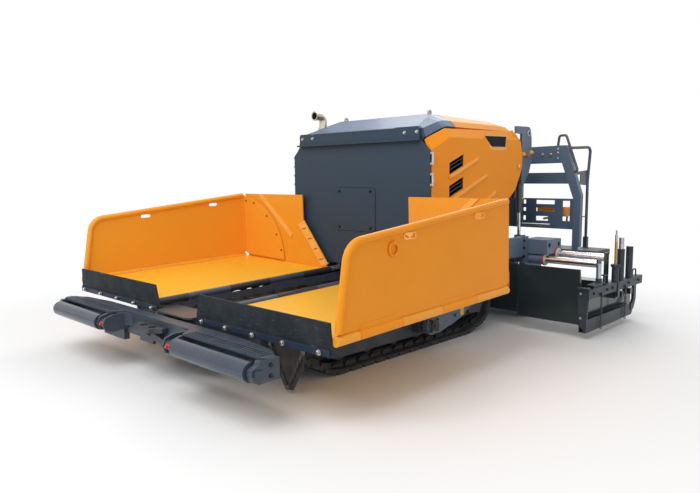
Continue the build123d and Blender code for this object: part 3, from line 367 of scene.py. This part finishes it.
def turned(name, profile, places, axis, material, body, around=12):
    """Lathe: each (radius r, height h) of the profile turns round the axis at every place,
    point = place + axis h + (e1 cos a + e2 sin a) r, with a in even steps of a full turn."""
    axis = np.array(axis, float) / np.linalg.norm(axis)
    e1 = np.cross(axis, (0, 0, 1) if abs(axis[2]) < 0.9 else (1, 0, 0))
    e1 /= np.linalg.norm(e1)
    e2 = np.cross(axis, e1)
    profile, places = np.array(profile, float), np.array(places, float)
    angle = np.arange(around) * 2 * np.pi / around
    spokes = np.cos(angle)[:, None] * e1 + np.sin(angle)[:, None] * e2
    one = profile[:, 0, None, None] * spokes + profile[:, 1, None, None] * axis
    points = places[:, None, None, :] + one[None]
    return mesh_piece(name, points, quads(len(places), len(profile), around), material, body)


def bolts(name, size, places, axis, material, body):
    """Bolt heads on washers, of that size across the washer: washer, head and chamfer turned in flat
    sides, six on a small bolt and twelve on a larger one."""
    r = size / 2
    profile = [(0, -0.002), (r, -0.002), (r, 0.10 * size), (0.82 * r, 0.12 * size), (0.82 * r, 0.42 * size),
               (0.70 * r, 0.50 * size), (0, 0.50 * size)]
    return turned(name, profile, places, axis, material, body, around=6 if size < 0.02 else 12)


def rounded_corners(half_width, half_height, steps):
    """Four corner points, each repeated in steps, and the unit directions (cos a, sin a) that sweep a
    quarter turn at each: corner + radius direction runs round a rounded rectangle."""
    angle = np.concatenate([np.linspace(k * np.pi / 2, (k + 1) * np.pi / 2, steps) for k in range(4)])
    quarter = np.repeat(np.array([(1, 1), (-1, 1), (-1, -1), (1, -1)]), steps, axis=0)
    return quarter * np.array([half_width, half_height]), np.stack([np.cos(angle), np.sin(angle)], -1)


def slab(name, centre, across, up, width, height, thick, corner, edge, material, body):
    """Pressed plate or box: a rounded rectangle outline carried through the rows (0, 0), (0, t - e),
    (e, t), (half, t) of inset and height, so its upper edge is chamfered by e.  The outline's points
    are centre + across u + up v with u, v on the rounded rectangle."""
    across, up = np.array(across, float), np.array(up, float)
    out = np.cross(across, up)
    core, turn = rounded_corners(width / 2 - corner, height / 2 - corner, 5)
    ring = core + corner * turn
    inner = core * max(0.0, 1 - edge / max(width, height) * 2) + max(corner - edge, 0) * turn
    rows = [(ring * 0, 0.0), (ring, 0.0), (ring, thick - edge), (inner, thick), (inner * 0, thick)]
    points = np.stack([np.array(centre) + flat[:, :1] * across + flat[:, 1:] * up + height_of * out
                       for flat, height_of in rows])
    return mesh_piece(name, points, quads(1, len(rows), points.shape[1]), material, body)


def hose(name, path, radius, material, body, around=10, closed=False):
    """Round section carried along a path: at each point the ring stands square to the mean of the two
    neighbouring directions, point = p + (n cos a + b sin a) r."""
    path = np.array(path, float)
    if closed:
        ahead = np.roll(path, -1, 0) - np.roll(path, 1, 0)
    else:
        ahead = np.gradient(path, axis=0)
    ahead /= np.linalg.norm(ahead, axis=1)[:, None]
    spread = np.ptp(path, axis=0)
    normal = np.zeros(3)
    normal[int(np.argmin(spread))] = 1.0
    first = np.cross(ahead, normal)
    first /= np.linalg.norm(first, axis=1)[:, None]
    second = np.cross(ahead, first)
    angle = np.arange(around) * 2 * np.pi / around
    spokes = np.cos(angle)[:, None] * first[:, None] + np.sin(angle)[:, None] * second[:, None]
    rings = path[:, None] + radius * spokes
    if closed:
        rings = np.concatenate([rings, rings[:1]])
    else:
        start, stop = (np.repeat(end[:, None], around, 1) for end in (path[:1], path[-1:]))
        rings = np.concatenate([start, rings, stop])
    return mesh_piece(name, rings, quads(1, len(rings), around), material, body)


def plate_of(name, outline, out, thick, material, body):
    """Flat plate from a convex outline: rows (0, 0), (1, 0), (1, t), (0, t) of spread from the middle and
    height along out, point = middle + spread (outline - middle) + height out."""
    outline, out = np.array(outline, float), np.array(out, float)
    middle = outline.mean(axis=0)
    rows = [middle + spread * (outline - middle) + height * out
            for spread, height in ((0, 0), (1, 0), (1, thick), (0, thick))]
    return mesh_piece(name, np.stack(rows), quads(1, 4, len(outline)), material, body)


HOPPER_LENGTH, HINGE_Z = 1.761, 0.477           # the inner hinge line's front end
CLIMB = math.radians(1.82)                      # hinge lines climb to the rear
AHEAD = (math.cos(CLIMB), 0, -math.sin(CLIMB))
WALL_OUT = 1.610                                # outer face of a side wall


def on_hopper(x, y, z):
    """A place drawn with level hinge lines, turned by their climb about the inner line's front end."""
    dx = x - HOPPER_LENGTH
    return (HOPPER_LENGTH + dx * math.cos(CLIMB) + z * math.sin(CLIMB) + X0, y,
            HINGE_Z - dx * math.sin(CLIMB) + z * math.cos(CLIMB))


def hopper_plate(name, x, sign, outline, thick, material, body):
    """Flat plate across the hopper at drawing place x, from its (y, z) outline on one side."""
    return plate_of(name, [on_hopper(x, sign * y, z) for y, z in outline], AHEAD, thick, material, body)


navy = finish("clamp_paint", (0.014, 0.027, 0.060), (0.03, 0.045, 0.07), 0.45, coat=0.05, specular=0.3)
zinc = finish("zinc_bolts", (0.62, 0.62, 0.60), (0.36, 0.34, 0.30), 0.3, metal=1.0, scale=60, patch=0.5)
black_bolts = finish("black_bolts", (0.03, 0.03, 0.034), (0.07, 0.065, 0.06), 0.4, metal=0.7, scale=60)
CLAMP_LENGTH = 1.31
V_STRIP = ((0.640, 0.448), (0.730, 0.411), (0.412, 0.022), (0.326, 0.046))
V_BAND = ((1.351, 0.697), (1.280, 0.697), (0.826, 0.318), (0.850, 0.270))
SLIT = ((-0.030, 0.0045), (0.024, -0.0105), (0.030, -0.0045), (-0.024, 0.0105))
FILLER = ((1.530, 0.020), (1.600, 0.050), (1.600, 0.160), (1.530, 0.160))
SECTOR_BOLTS = ((1.55, 0.625), (1.415, 0.604), (1.207, 0.475), (1.062, 0.29), (0.995, 0.135))
HANDLES, HANDLE_HALF, HANDLE_R = ((1.111, 0.549), (0.352, 0.610)), 0.037, 0.019
for side, sign in SIDES:
    wing, wall = f"wing_{side}", f"wall_{side}"
    slab(f"flap_clamp_{side}", on_hopper(1.778, sign * 0.922, -0.0385), (0, 1, 0.006),
         (-AHEAD[2] * 0.999, 0, AHEAD[0] * 0.999), CLAMP_LENGTH, 0.036, 0.003, 0.004, 0.001, navy, wing)
    bolts(f"flap_bolts_{side}", 0.034, [on_hopper(1.7865, sign * y, -0.042 + (y - 0.340) * 0.005)
                                        for y in (0.34, 0.615, 0.9, 1.19, 1.5)], AHEAD, zinc, wing)
    hopper_plate(f"v_strip_{side}", -0.0402, sign, V_STRIP, 0.0015, ribs, wing)
    for number, share in enumerate((0.14, 0.38, 0.62, 0.86)):
        y, z = 0.686 - 0.320 * share, 0.428 - 0.396 * share
        hopper_plate(f"v_strip_slit_{number}_{side}", -0.0388, sign,
                     [(y + dy, z + dz) for dy, dz in SLIT], 0.001, flaps, wing)
    hopper_plate(f"v_band_{side}", -0.0442, sign, V_BAND, 0.0015, ribs, wing)
    for number, (middle_x, middle_z) in enumerate(HANDLES):
        turn = np.linspace(0, 2 * np.pi, 28, endpoint=False)
        rim_x = middle_x + HANDLE_HALF * np.sign(np.cos(turn)) + HANDLE_R * np.cos(turn)
        rim_z = middle_z + HANDLE_R * np.sin(turn)
        hose(f"handle_rim_{number}_{side}", [on_hopper(x, sign * WALL_OUT, z) for x, z in zip(rim_x, rim_z)],
             0.005, ribs, wall, around=8, closed=True)
    bolts(f"sector_bolts_{side}", 0.018, [on_hopper(-0.034, sign * y, z) for y, z in SECTOR_BOLTS],
          AHEAD, black_bolts, wall)
    hopper_plate(f"corner_filler_{side}", -0.0640, sign, FILLER, 0.0018, wings, wing)

# ---------------------------------------------------------------- push beam
# Fabricated beam in slate paint on one pin, with two smooth steel rollers and a dark hook plate.
# The roller pins' grease caps are red; the end plates are held by bolts.
beam_paint = finish("push_beam_paint", (0.026, 0.042, 0.066), (0.045, 0.062, 0.088), 0.42, coat=0.08,
                    dust=0.35, scratch=0.15, zones=(
    ((2.283, 0.44, 0.33), (FAR, 0.49, 0.37), (0.55, 0.035, 0.02), 0.4, 0.0),))      # grease caps
rollers = finish("roller_steel", (0.060, 0.076, 0.105), (0.085, 0.10, 0.13), 0.22, metal=0.5, scale=3,
                 patch=0.5, bump=0.01, scratch=0.05)
hook = finish("hook_steel", (0.030, 0.034, 0.042), (0.10, 0.095, 0.09), 0.42, metal=0.4, scale=12,
              patch=0.5, bump=0.2)
dress(beam_paint, "push_beam", "push_carrier")
dress(rollers, *both("push_roller"))
dress(hook, "tow_hook")
for name, sign in (("beam_end_bolts", 1), ("beam_end_bolts_far", -1)):
    bolts(name, 0.026, [(2.155, sign * 1.330, z) for z in (0.378, 0.318)], (0, sign, 0), black_bolts,
          "push_beam_body")

# ---------------------------------------------------------------- track deflectors
# Thick rubber sheet cut to a V and bolted under a slate bar ahead of each track, where it pushes
# spilled mix aside.  A chain of welded links runs along each edge of the V.
deflector = finish("deflector_rubber", (0.024, 0.025, 0.028), (0.06, 0.056, 0.05), 0.6, scale=12,
                   patch=0.6, bump=0.3, dust=0.35, zones=(
    ((1.50, -1, 0.395), (FAR, FAR, FAR), SLATE, 0.45, 0.0),                         # bar
    ((1.681, -1, 0.02), (FAR, FAR, 0.33), (0.17, 0.17, 0.175), 0.4, 0.8)))          # chains
dress(deflector, *both("track_deflector"))
bolts("deflector_bolts", 0.028, [(1.68, sign * y, 0.418) for _, sign in SIDES for y in (0.74, 0.88, 1.02)],
      (1, 0, 0), zinc, "tractor")

# ---------------------------------------------------------------- hood
# Slate front panel with a bolted hatch, brow and sloping cap; orange top cover and side doors on
# steel pin hinges, with dark louvres behind their two openings.
front = finish("hood_paint", (0.026, 0.051, 0.084), (0.040, 0.046, 0.054), 0.5, coat=0.06, scale=1.1,
               patch=0.8, bump=0.02, specular=0.3, zones=(
    ((-FAR, 0, 1.705), (0.05, FAR, FAR), (0.090, 0.140, 0.240), 0.45, 0.0),         # brow and cap, painted paler blue: painted reflection of light from above
    ((0.046, 0.8415, 1.2), (FAR, FAR, 1.7), (0.55, 0.55, 0.56), 0.35, 1.0),         # hinge pins
    ((-0.40, 0.45, 1.9545), (-0.2, FAR, 2.1), (0.55, 0.50, 0.42), 0.4, 0.2)))       # lifting eyes
cover = finish("hood_top_paint", (0.88, 0.33, 0.03), ORANGE, 0.5, coat=0.03, patch=0.2, bump=0.02,
               specular=0.2)
doors = finish("door_paint", (0.93, 0.302, 0.003), ORANGE, 0.40, coat=0.05, patch=0.2, bump=0.02,
               specular=0.2, zones=(
    ((-0.42, 0.815, 1.19), (-0.17, 0.8335, 1.64), (0.055, 0.062, 0.072), 0.45, 0.2),    # louvres
    ((0.046, 0.8409, 1.2), (0.2, 0.9, 1.7), (0.58, 0.58, 0.59), 0.35, 1.0),             # hinge knuckles
    ((-1.345, 0.8455, 1.48), (-1.31, 0.9, 1.52), (0.6, 0.6, 0.6), 0.3, 1.0)))           # latch
dress(front, "hood_front", "hood_rear")
dress(cover, "hood_top")
dress(doors, *both("side_door"))
bolts("brow_bolts", 0.030, [(-0.072 + X0, y, z) for y, z in
      ((-0.691, 1.769), (-0.549, 1.770), (0.585, 1.767), (0.715, 1.769))], (1, 0, 0), zinc, "tractor")
bolts("hatch_bolts", 0.026, [(-0.081 + X0, y, z) for y, z in
      ((-0.205, 1.275), (0.185, 1.275), (-0.205, 0.945), (0.185, 0.945))], (1, 0, 0), black_bolts, "tractor")
HATCH_WIDTH, HATCH_HEIGHT, HATCH_CORNER, SEAL_CORNER = 0.500, 0.391, 0.028, 0.030
hatch_core, hatch_turn = rounded_corners(HATCH_WIDTH / 2 - HATCH_CORNER, HATCH_HEIGHT / 2 - HATCH_CORNER, 6)
hatch_line = hatch_core + SEAL_CORNER * hatch_turn
hatch_x = np.full(len(hatch_line), -0.0862 + X0)
hose("hatch_seal", np.stack([hatch_x, -0.010 + hatch_line[:, 0], 1.110 + hatch_line[:, 1]], -1),
     0.0028, black_bolts, "tractor", around=6, closed=True)
badge = finish("badge_plastic", (0.012, 0.013, 0.016), (0.02, 0.02, 0.024), 0.6, bump=0.02, specular=0.12)
# Pale orange for the badge recess, and painted highlights along the lit upper edges of the door ribs.
recess_and_rib_highlight = finish("door_recess_and_rib_highlight", (0.92, 0.47, 0.11), (0.86, 0.38, 0.06), 0.4, coat=0.1, bump=0.02,
                 specular=0.3)
DOOR_FACE = 0.8395
RECESS = ((-0.880, 1.782), (-1.268, 1.790), (-1.262, 1.648), (-1.030, 1.640), (-0.995, 1.650))
BADGE = ((-0.894, 1.763), (-1.256, 1.771), (-1.244, 1.677), (-1.016, 1.673), (-1.004, 1.678))
RIBS = (((-0.345, 1.386), (-0.798, 1.559)), ((-0.405, 1.200), (-0.950, 1.417)),
        ((-0.940, 1.184), (-1.100, 1.264)))
for side, sign in SIDES:
    door, out = f"door_{side}", (0, sign, 0)
    plate_of(f"badge_recess_{side}", [(x + X0, sign * DOOR_FACE, z) for x, z in RECESS], out, 0.0020,
             recess_and_rib_highlight, door)
    plate_of(f"badge_plate_{side}", [(x + X0, sign * (DOOR_FACE + 0.0020), z) for x, z in BADGE], out, 0.0045,
             badge, door)
    for number, ((x0, z0), (x1, z1)) in enumerate(RIBS):
        middle_x, middle_z = (x0 + x1) / 2 + X0, (z0 + z1) / 2
        run = np.array([x1 - x0, 0, z1 - z0])
        reach = np.linalg.norm(run)
        along = run / reach * -sign
        over = np.cross(out, along)
        slab(f"door_rib_{number}_{side}", (middle_x, sign * DOOR_FACE, middle_z), along, over,
             reach, 0.050, 0.0125, 0.024, 0.009, doors, door)
        # A paler strip along each rib's top: a painted highlight where light falls on the rib.
        slab(f"door_rib_highlight_{number}_{side}", (middle_x, sign * (DOOR_FACE + 0.0124), middle_z + 0.006),
             along, over, reach - 0.040, 0.018, 0.0012, 0.008, 0.0008, recess_and_rib_highlight, door)

# ---------------------------------------------------------------- exhaust
# Elbow of thin bright steel on a short foot, open at its flared mouth.  Heat has tinted it straw
# and brown in patches.
hot_steel = finish("exhaust_steel", (0.62, 0.56, 0.48), (0.36, 0.27, 0.2), 0.3, metal=1.0, scale=9,
                   patch=0.6, bump=0.05)
dress(hot_steel, "exhaust")

# ---------------------------------------------------------------- masts, lift cylinders and operator's stand
# Plate masts and portal in slate paint; black cylinder barrels with chromed rods.  Behind the
# portal's panel hang the orange control boxes and the desk with its screen and levers.
stand_paint = finish("stand_paint", (0.080, 0.125, 0.190), (0.085, 0.12, 0.17), 0.4, coat=0.2, bump=0.03)
rails = finish("rail_paint", (0.050, 0.072, 0.105), (0.03, 0.035, 0.04), 0.38, coat=0.25)
board = finish("board_paint", (0.026, 0.030, 0.034), (0.06, 0.058, 0.05), 0.5, scale=20, patch=0.6,
               bump=0.4, scratch=0.3)
chrome = finish("chrome_rod", (0.80, 0.81, 0.84), (0.6, 0.6, 0.62), 0.12, metal=1.0, scale=30, patch=0.3,
                bump=0.01)
barrels = finish("barrel_paint", (0.040, 0.052, 0.075), SLATE_WORN, 0.35, coat=0.3)
desk = finish("desk_plastic", (0.028, 0.030, 0.034), (0.05, 0.05, 0.055), 0.5, bump=0.15)
dress(stand_paint, *both("rear_mast"), "stand_frame")
dress(rails, "handrails")
dress(board, "footboard")
dress(chrome, "lift_rods")
dress(barrels, "lift_barrels")
dress(desk, "console")
copper = finish("copper_bolts", (0.60, 0.46, 0.36), (0.45, 0.30, 0.2), 0.35, metal=1.0, scale=60)
red_plastic = finish("red_plastic", (0.62, 0.04, 0.02), (0.5, 0.03, 0.02), 0.35, coat=0.2)
yellow_plastic = finish("yellow_plastic", (0.72, 0.46, 0.06), (0.6, 0.36, 0.05), 0.4)
box_paint = finish("box_paint", ORANGE, ORANGE_WORN, 0.4, coat=0.2)
STAND = "screed_body"                           # the stand is carried by the screed's arms
PANEL_X = -2.110 + X0                           # front plane of the portal
MAST_OUT = 0.826                                # outer face of a mast
bolts("stand_bolts", 0.034, [(PANEL_X, sign * y, 1.622) for _, sign in SIDES for y in (0.772, 0.865)],
      (1, 0, 0), copper, STAND)
bolts("stand_corner_bolts", 0.024, [(PANEL_X, sign * 0.942, z) for _, sign in SIDES
                                    for z in (1.580, 1.637, 1.675)], (1, 0, 0), zinc, STAND)
coupler = [(0, -0.002), (0.021, -0.002), (0.021, 0.012), (0.015, 0.015), (0.015, 0.026), (0.010, 0.030),
           (0, 0.030)]
fitting = [(0, -0.004), (0.011, -0.004), (0.011, 0.012), (0.007, 0.016), (0.007, 0.030), (0, 0.030)]
ring = [(0.0185, 0), (0.027, 0), (0.027, 0.003), (0.024, 0.005), (0.0185, 0.005), (0.0185, 0)]
step_bar = [(0, 0), (0.014, 0), (0.014, 0.315), (0, 0.315)]
FLAG = ((-1.600, 1.812), (-1.486, 1.818), (-1.484, 1.882), (-1.600, 1.884))
CONTROL_Y, LAMP_Y, BOX_X = 0.780, 0.985, -2.330 + X0
for side, sign in SIDES:
    out = (0, sign, 0)
    turned(f"mast_couplers_yellow_{side}", coupler,
           [(x + X0, sign * MAST_OUT, z) for x, z in ((-1.602, 1.617), (-1.757, 1.638))], out,
           yellow_plastic, "tractor", around=14)
    turned(f"mast_coupler_red_{side}", coupler, [(-1.673 + X0, sign * MAST_OUT, 1.603)], out, red_plastic,
           "tractor", around=14)
    turned(f"barrel_fitting_{side}", fitting, [(-1.655 + X0, sign * 0.800, 1.180)], out, yellow_plastic,
           "lift_barrel_body", around=10)
    plate_of(f"mast_flag_{side}", [(x + X0, sign * 0.8005, z) for x, z in FLAG], out, 0.025, stand_paint,
             "tractor")
    turned(f"mast_ring_{side}", ring, [(-1.720 + X0, sign * MAST_OUT, 1.825)], out, zinc, "tractor",
           around=24)
    turned(f"step_bar_{side}", step_bar, [(-2.0 + X0, sign * 0.620, 0.900)], out, zinc, STAND, around=14)
    slab(f"control_box_{side}", (BOX_X, sign * CONTROL_Y, 1.030), (0, 1, 0), (0, 0, 1), 0.20, 0.085, 0.130,
         0.012, 0.008, box_paint, STAND)
    slab(f"lamp_box_{side}", (BOX_X, sign * LAMP_Y, 1.030), (0, 1, 0), (0, 0, 1), 0.060, 0.10, 0.130,
         0.012, 0.008, box_paint, STAND)
    hose(f"control_bracket_{side}", [(x + X0, sign * CONTROL_Y, z) for x, z in
         ((-2.168, 0.955), (-2.26, 0.955), (-2.275, 0.965), (-2.28, 0.992))], 0.012, rails, STAND)
    hose(f"lamp_bracket_{side}", [(x + X0, sign * LAMP_Y, z) for x, z in
         ((-2.168, 0.920), (-2.25, 0.920), (-2.27, 0.93), (-2.28, 0.985))], 0.010, rails, STAND)
glass = finish("screen_glass", (0.02, 0.03, 0.04), (0.03, 0.04, 0.05), 0.12, coat=0.6, bump=0.0)
lever = [(0, -0.02), (0.007, -0.02), (0.007, 0.055), (0.016, 0.062), (0.018, 0.080), (0.012, 0.094),
         (0, 0.097)]
knob = [(0, -0.004), (0.014, -0.004), (0.014, 0.010), (0.010, 0.014), (0, 0.014)]
DESK_UP, DESK_OUT = (-0.933, 0, 0.359), (-0.359, 0, 0.933)     # along and square to the sloping desk
slab("desk_screen", (-2.268 + X0, 0.0, 1.2725), (0, 1, 0), DESK_UP, 0.20, 0.085, 0.008, 0.008, 0.003,
     glass, STAND)
turned("desk_levers", lever, [(-2.270 + X0, y, 1.266) for y in (-0.30, -0.22, 0.22, 0.30)], (-0.2, 0, 1),
       desk, STAND, around=10)
turned("desk_knobs", knob, [(-2.300 + X0, y, 1.2555) for y in (-0.16, -0.13, 0.13, 0.16)], DESK_OUT,
       red_plastic, STAND, around=12)

# ---------------------------------------------------------------- screed and tow arms
# Slate tow arms carry the screed box; chromed guide tubes run in sleeves with a pale wiper ring
# and a red seal at each outer end.
screed = finish("screed_paint", (0.100, 0.150, 0.215), (0.085, 0.12, 0.165), 0.4, coat=0.2, dust=0.3,
                bump=0.03, scratch=0.08)
dress(screed, "screed_frame", "screed_box")
wiper = finish("wiper_ring", (0.70, 0.62, 0.50), (0.5, 0.42, 0.33), 0.45, scale=40)
seal = finish("seal_red", (0.50, 0.02, 0.03), (0.35, 0.02, 0.02), 0.4)
GUIDES = ((-1.500 + X0, 0.612, 1.150), (-1.662 + X0, 0.655, 1.195))    # x, z and outer end of each sleeve
ring_profile = [(0.0375, 0.0), (0.052, 0.0), (0.056, 0.003), (0.056, 0.007), (0.050, 0.010),
                (0.0375, 0.010), (0.0375, 0.0)]
seal_profile = [(0.050, -0.010), (0.0575, -0.010), (0.0595, -0.006), (0.0595, -0.001), (0.0575, 0.002),
                (0.050, 0.002), (0.050, -0.010)]
TAG_X, TOW_X, TOW_Z = -0.363 + X0, 0.045 + X0, 0.212
for side, sign in SIDES:
    places, out = [(x, sign * end, z) for x, z, end in GUIDES], (0, sign, 0)
    turned(f"wiper_rings_{side}", ring_profile, places, out, wiper, STAND, around=28)
    turned(f"seal_rings_{side}", seal_profile, places, out, seal, STAND, around=28)
    slab(f"arm_tag_{side}", (TAG_X, sign * 0.9795, 0.262), (-sign, 0, 0), (0, 0, 1), 0.050, 0.066, 0.003,
         0.005, 0.001, yellow_plastic, STAND)
    bolts(f"tow_bolts_{side}", 0.024, [(TOW_X + dx, sign * 0.990, TOW_Z + dz) for dx in (-0.042, 0.042)
          for dz in (-0.042, 0.042)], out, black_bolts, STAND)
    bolts(f"flange_bolts_{side}", 0.028,
          [(-1.390 + X0, sign * 0.985, z) for z in (0.48, 0.56, 0.64, 0.72, 0.79)], (1, 0, 0), black_bolts,
          STAND)

# ---------------------------------------------------------------- extensions and end gates
# The sliding box is wiped almost black and glossy by hot mix; its guide tubes are chromed.  The end
# gate rises on a brass-coloured screw and two bright posts, and two chains hang down to its skid.
plate = finish("extension_paint", (0.016, 0.027, 0.032), (0.022, 0.034, 0.036), 0.26, coat=0.4, scale=2,
               patch=0.7, bump=0.01, scratch=0.04, zones=(
    ((-1.545 + X0, 0.6, 0.566), (-1.455 + X0, 1.6595, 0.66), (0.85, 0.87, 0.90), 0.25, 1.0),    # tubes
    ((-1.70 + X0, 0.6, 0.61), (-1.62 + X0, 1.6595, 0.70), (0.85, 0.87, 0.90), 0.25, 1.0)))
dress(plate, "tunnel_plates")
gate = finish("gate_paint", (0.017, 0.031, 0.046), (0.04, 0.05, 0.062), 0.42, coat=0.1, dust=0.25,
              scratch=0.12, specular=0.35, zones=(
    ((-1.412 + X0, 1.690, 0.502), (-1.364 + X0, 1.742, 0.64), (0.45, 0.55, 0.66), 0.3, 0.8),    # small rod
    ((-FAR, 1.7489, 0.03), (FAR, 1.7651, 0.348), (0.10, 0.11, 0.125), 0.38, 0.8)))              # chains
posts = finish("gate_rods", (0.62, 0.64, 0.68), (0.4, 0.4, 0.42), 0.2, metal=1.0, scale=24, patch=0.4,
               zones=(
    ((-1.765 + X0, 1.70, 0.33), (-1.733 + X0, 1.74, 0.800), (0.46, 0.30, 0.10), 0.35, 0.9),))   # screw
dress(plate, *both("extension"))
dress(gate, *both("end_gate"))
dress(posts, *both("gate_guides"))
for side, sign in SIDES:
    gate_body = f"gate_{side}_body"
    bolts(f"gate_plate_bolts_{side}", 0.022,
          [(-1.083 + X0, sign * y, z) for y, z in ((1.69, 0.40), (1.695, 0.19))], (1, 0, 0), zinc, gate_body)
    bolts(f"gate_beam_bolts_{side}", 0.026,
          [(x + X0, sign * 1.748, 0.392) for x in (-1.22, -1.50, -1.62, -2.00, -2.24)], (0, sign, 0),
          black_bolts, gate_body)

# ---------------------------------------------------------------- studio
# A plain pale floor under soft lamps, white to the camera away from the machine; the world is white
# to the camera and in reflections.


def set_camera(place, degrees, lens):
    """Camera at a place.  It looks along (cos yaw cos pitch, sin yaw cos pitch, sin pitch), and its
    right and up directions are turned by the roll about that line."""
    yaw, pitch, roll = (math.radians(angle) for angle in degrees)
    ahead = Vector((math.cos(yaw) * math.cos(pitch), math.sin(yaw) * math.cos(pitch), math.sin(pitch)))
    right = ahead.cross(Vector((0, 0, 1))).normalized()
    up = right.cross(ahead)
    right, up = (right * math.cos(roll) + up * math.sin(roll), -right * math.sin(roll) + up * math.cos(roll))
    turn = Matrix((right, up, -ahead)).transposed()
    data = bpy.data.cameras.new("camera")
    data.sensor_width = 36
    data.lens = lens
    camera = bpy.data.objects.new("camera", data)
    camera.matrix_world = Matrix.Translation(place) @ turn.to_4x4()
    bpy.context.scene.collection.objects.link(camera)
    bpy.context.scene.camera = camera


set_camera((4.11817 + X0, 4.01267, 1.39321), (224.1912, -6.1266, -0.3618), 32.747)
FLOOR_HALF = 60
FADE_FROM, FADE_TO = 2.3, 4.4                   # distances between which the floor turns white
floor_mesh = bpy.data.meshes.new("floor")
floor_mesh.from_pydata([(x * FLOOR_HALF, y * FLOOR_HALF, 0) for x, y in ((-1, -1), (1, -1), (1, 1), (-1, 1))],
                       [], [(0, 1, 2, 3)])
floor = bpy.data.objects.new("floor", floor_mesh)
bpy.context.scene.collection.objects.link(floor)
pale = bpy.data.materials.new("floor_pale")
pale.use_nodes = True
pn, pl = pale.node_tree.nodes, pale.node_tree.links
matt, sheet_out = pn["Principled BSDF"], pn["Material Output"]
matt.inputs["Base Color"].default_value = (0.88, 0.88, 0.88, 1)
matt.inputs["Roughness"].default_value = 0.9
white = pn.new("ShaderNodeEmission")
spot = pn.new("ShaderNodeVectorMath")
spot.operation = "LENGTH"
pl.new(pn.new("ShaderNodeTexCoord").outputs["Object"], spot.inputs[0])
fade = pn.new("ShaderNodeMapRange")
fade.inputs["From Min"].default_value = FADE_FROM
fade.inputs["From Max"].default_value = FADE_TO
pl.new(spot.outputs["Value"], fade.inputs["Value"])
eye = pn.new("ShaderNodeLightPath")
share = pn.new("ShaderNodeMath")
share.operation = "MULTIPLY"
pl.new(fade.outputs["Result"], share.inputs[0])
pl.new(eye.outputs["Is Camera Ray"], share.inputs[1])
mix = pn.new("ShaderNodeMixShader")
pl.new(share.outputs[0], mix.inputs["Fac"])
pl.new(matt.outputs[0], mix.inputs[1])
pl.new(white.outputs[0], mix.inputs[2])
pl.new(mix.outputs[0], sheet_out.inputs["Surface"])
floor_mesh.materials.append(pale)

world = bpy.data.worlds.new("studio")
bpy.context.scene.world = world
world.use_nodes = True
wn, wl = world.node_tree.nodes, world.node_tree.links
backdrop = wn["Background"]
backdrop.inputs["Color"].default_value = (1, 1, 1, 1)
path = wn.new("ShaderNodeLightPath")
seen = wn.new("ShaderNodeMath")
seen.operation = "MAXIMUM"
wl.new(path.outputs["Is Camera Ray"], seen.inputs[0])
wl.new(path.outputs["Is Glossy Ray"], seen.inputs[1])
through = wn.new("ShaderNodeMath")
through.operation = "MAXIMUM"
wl.new(seen.outputs[0], through.inputs[0])
wl.new(path.outputs["Is Transmission Ray"], through.inputs[1])
SOFT_LIGHT, WHITE = 0.55, 1.0                   # strength that lights the machine, and as seen
level = wn.new("ShaderNodeMapRange")
level.inputs["To Min"].default_value = SOFT_LIGHT
level.inputs["To Max"].default_value = WHITE
wl.new(through.outputs[0], level.inputs["Value"])
wl.new(level.outputs[0], backdrop.inputs["Strength"])


def lamp(name, place, target, size, power):
    """Square soft lamp at a place, aimed at a target."""
    data = bpy.data.lights.new(name, "AREA")
    data.size, data.energy = size, power
    light = bpy.data.objects.new(name, data)
    light.location = place
    light.rotation_mode = "QUATERNION"
    light.rotation_quaternion = (Vector(target) - Vector(place)).to_track_quat("-Z", "Y")
    bpy.context.scene.collection.objects.link(light)


LAMP_SIZE, LAMP_TARGET = 5, (0, 0, 0.8)
lamp("key", (5, 1, 6), LAMP_TARGET, LAMP_SIZE, 300)
lamp("fill", (2, 8, 3), LAMP_TARGET, LAMP_SIZE, 40)
lamp("back", (-6, -3, 6), LAMP_TARGET, LAMP_SIZE, 260)
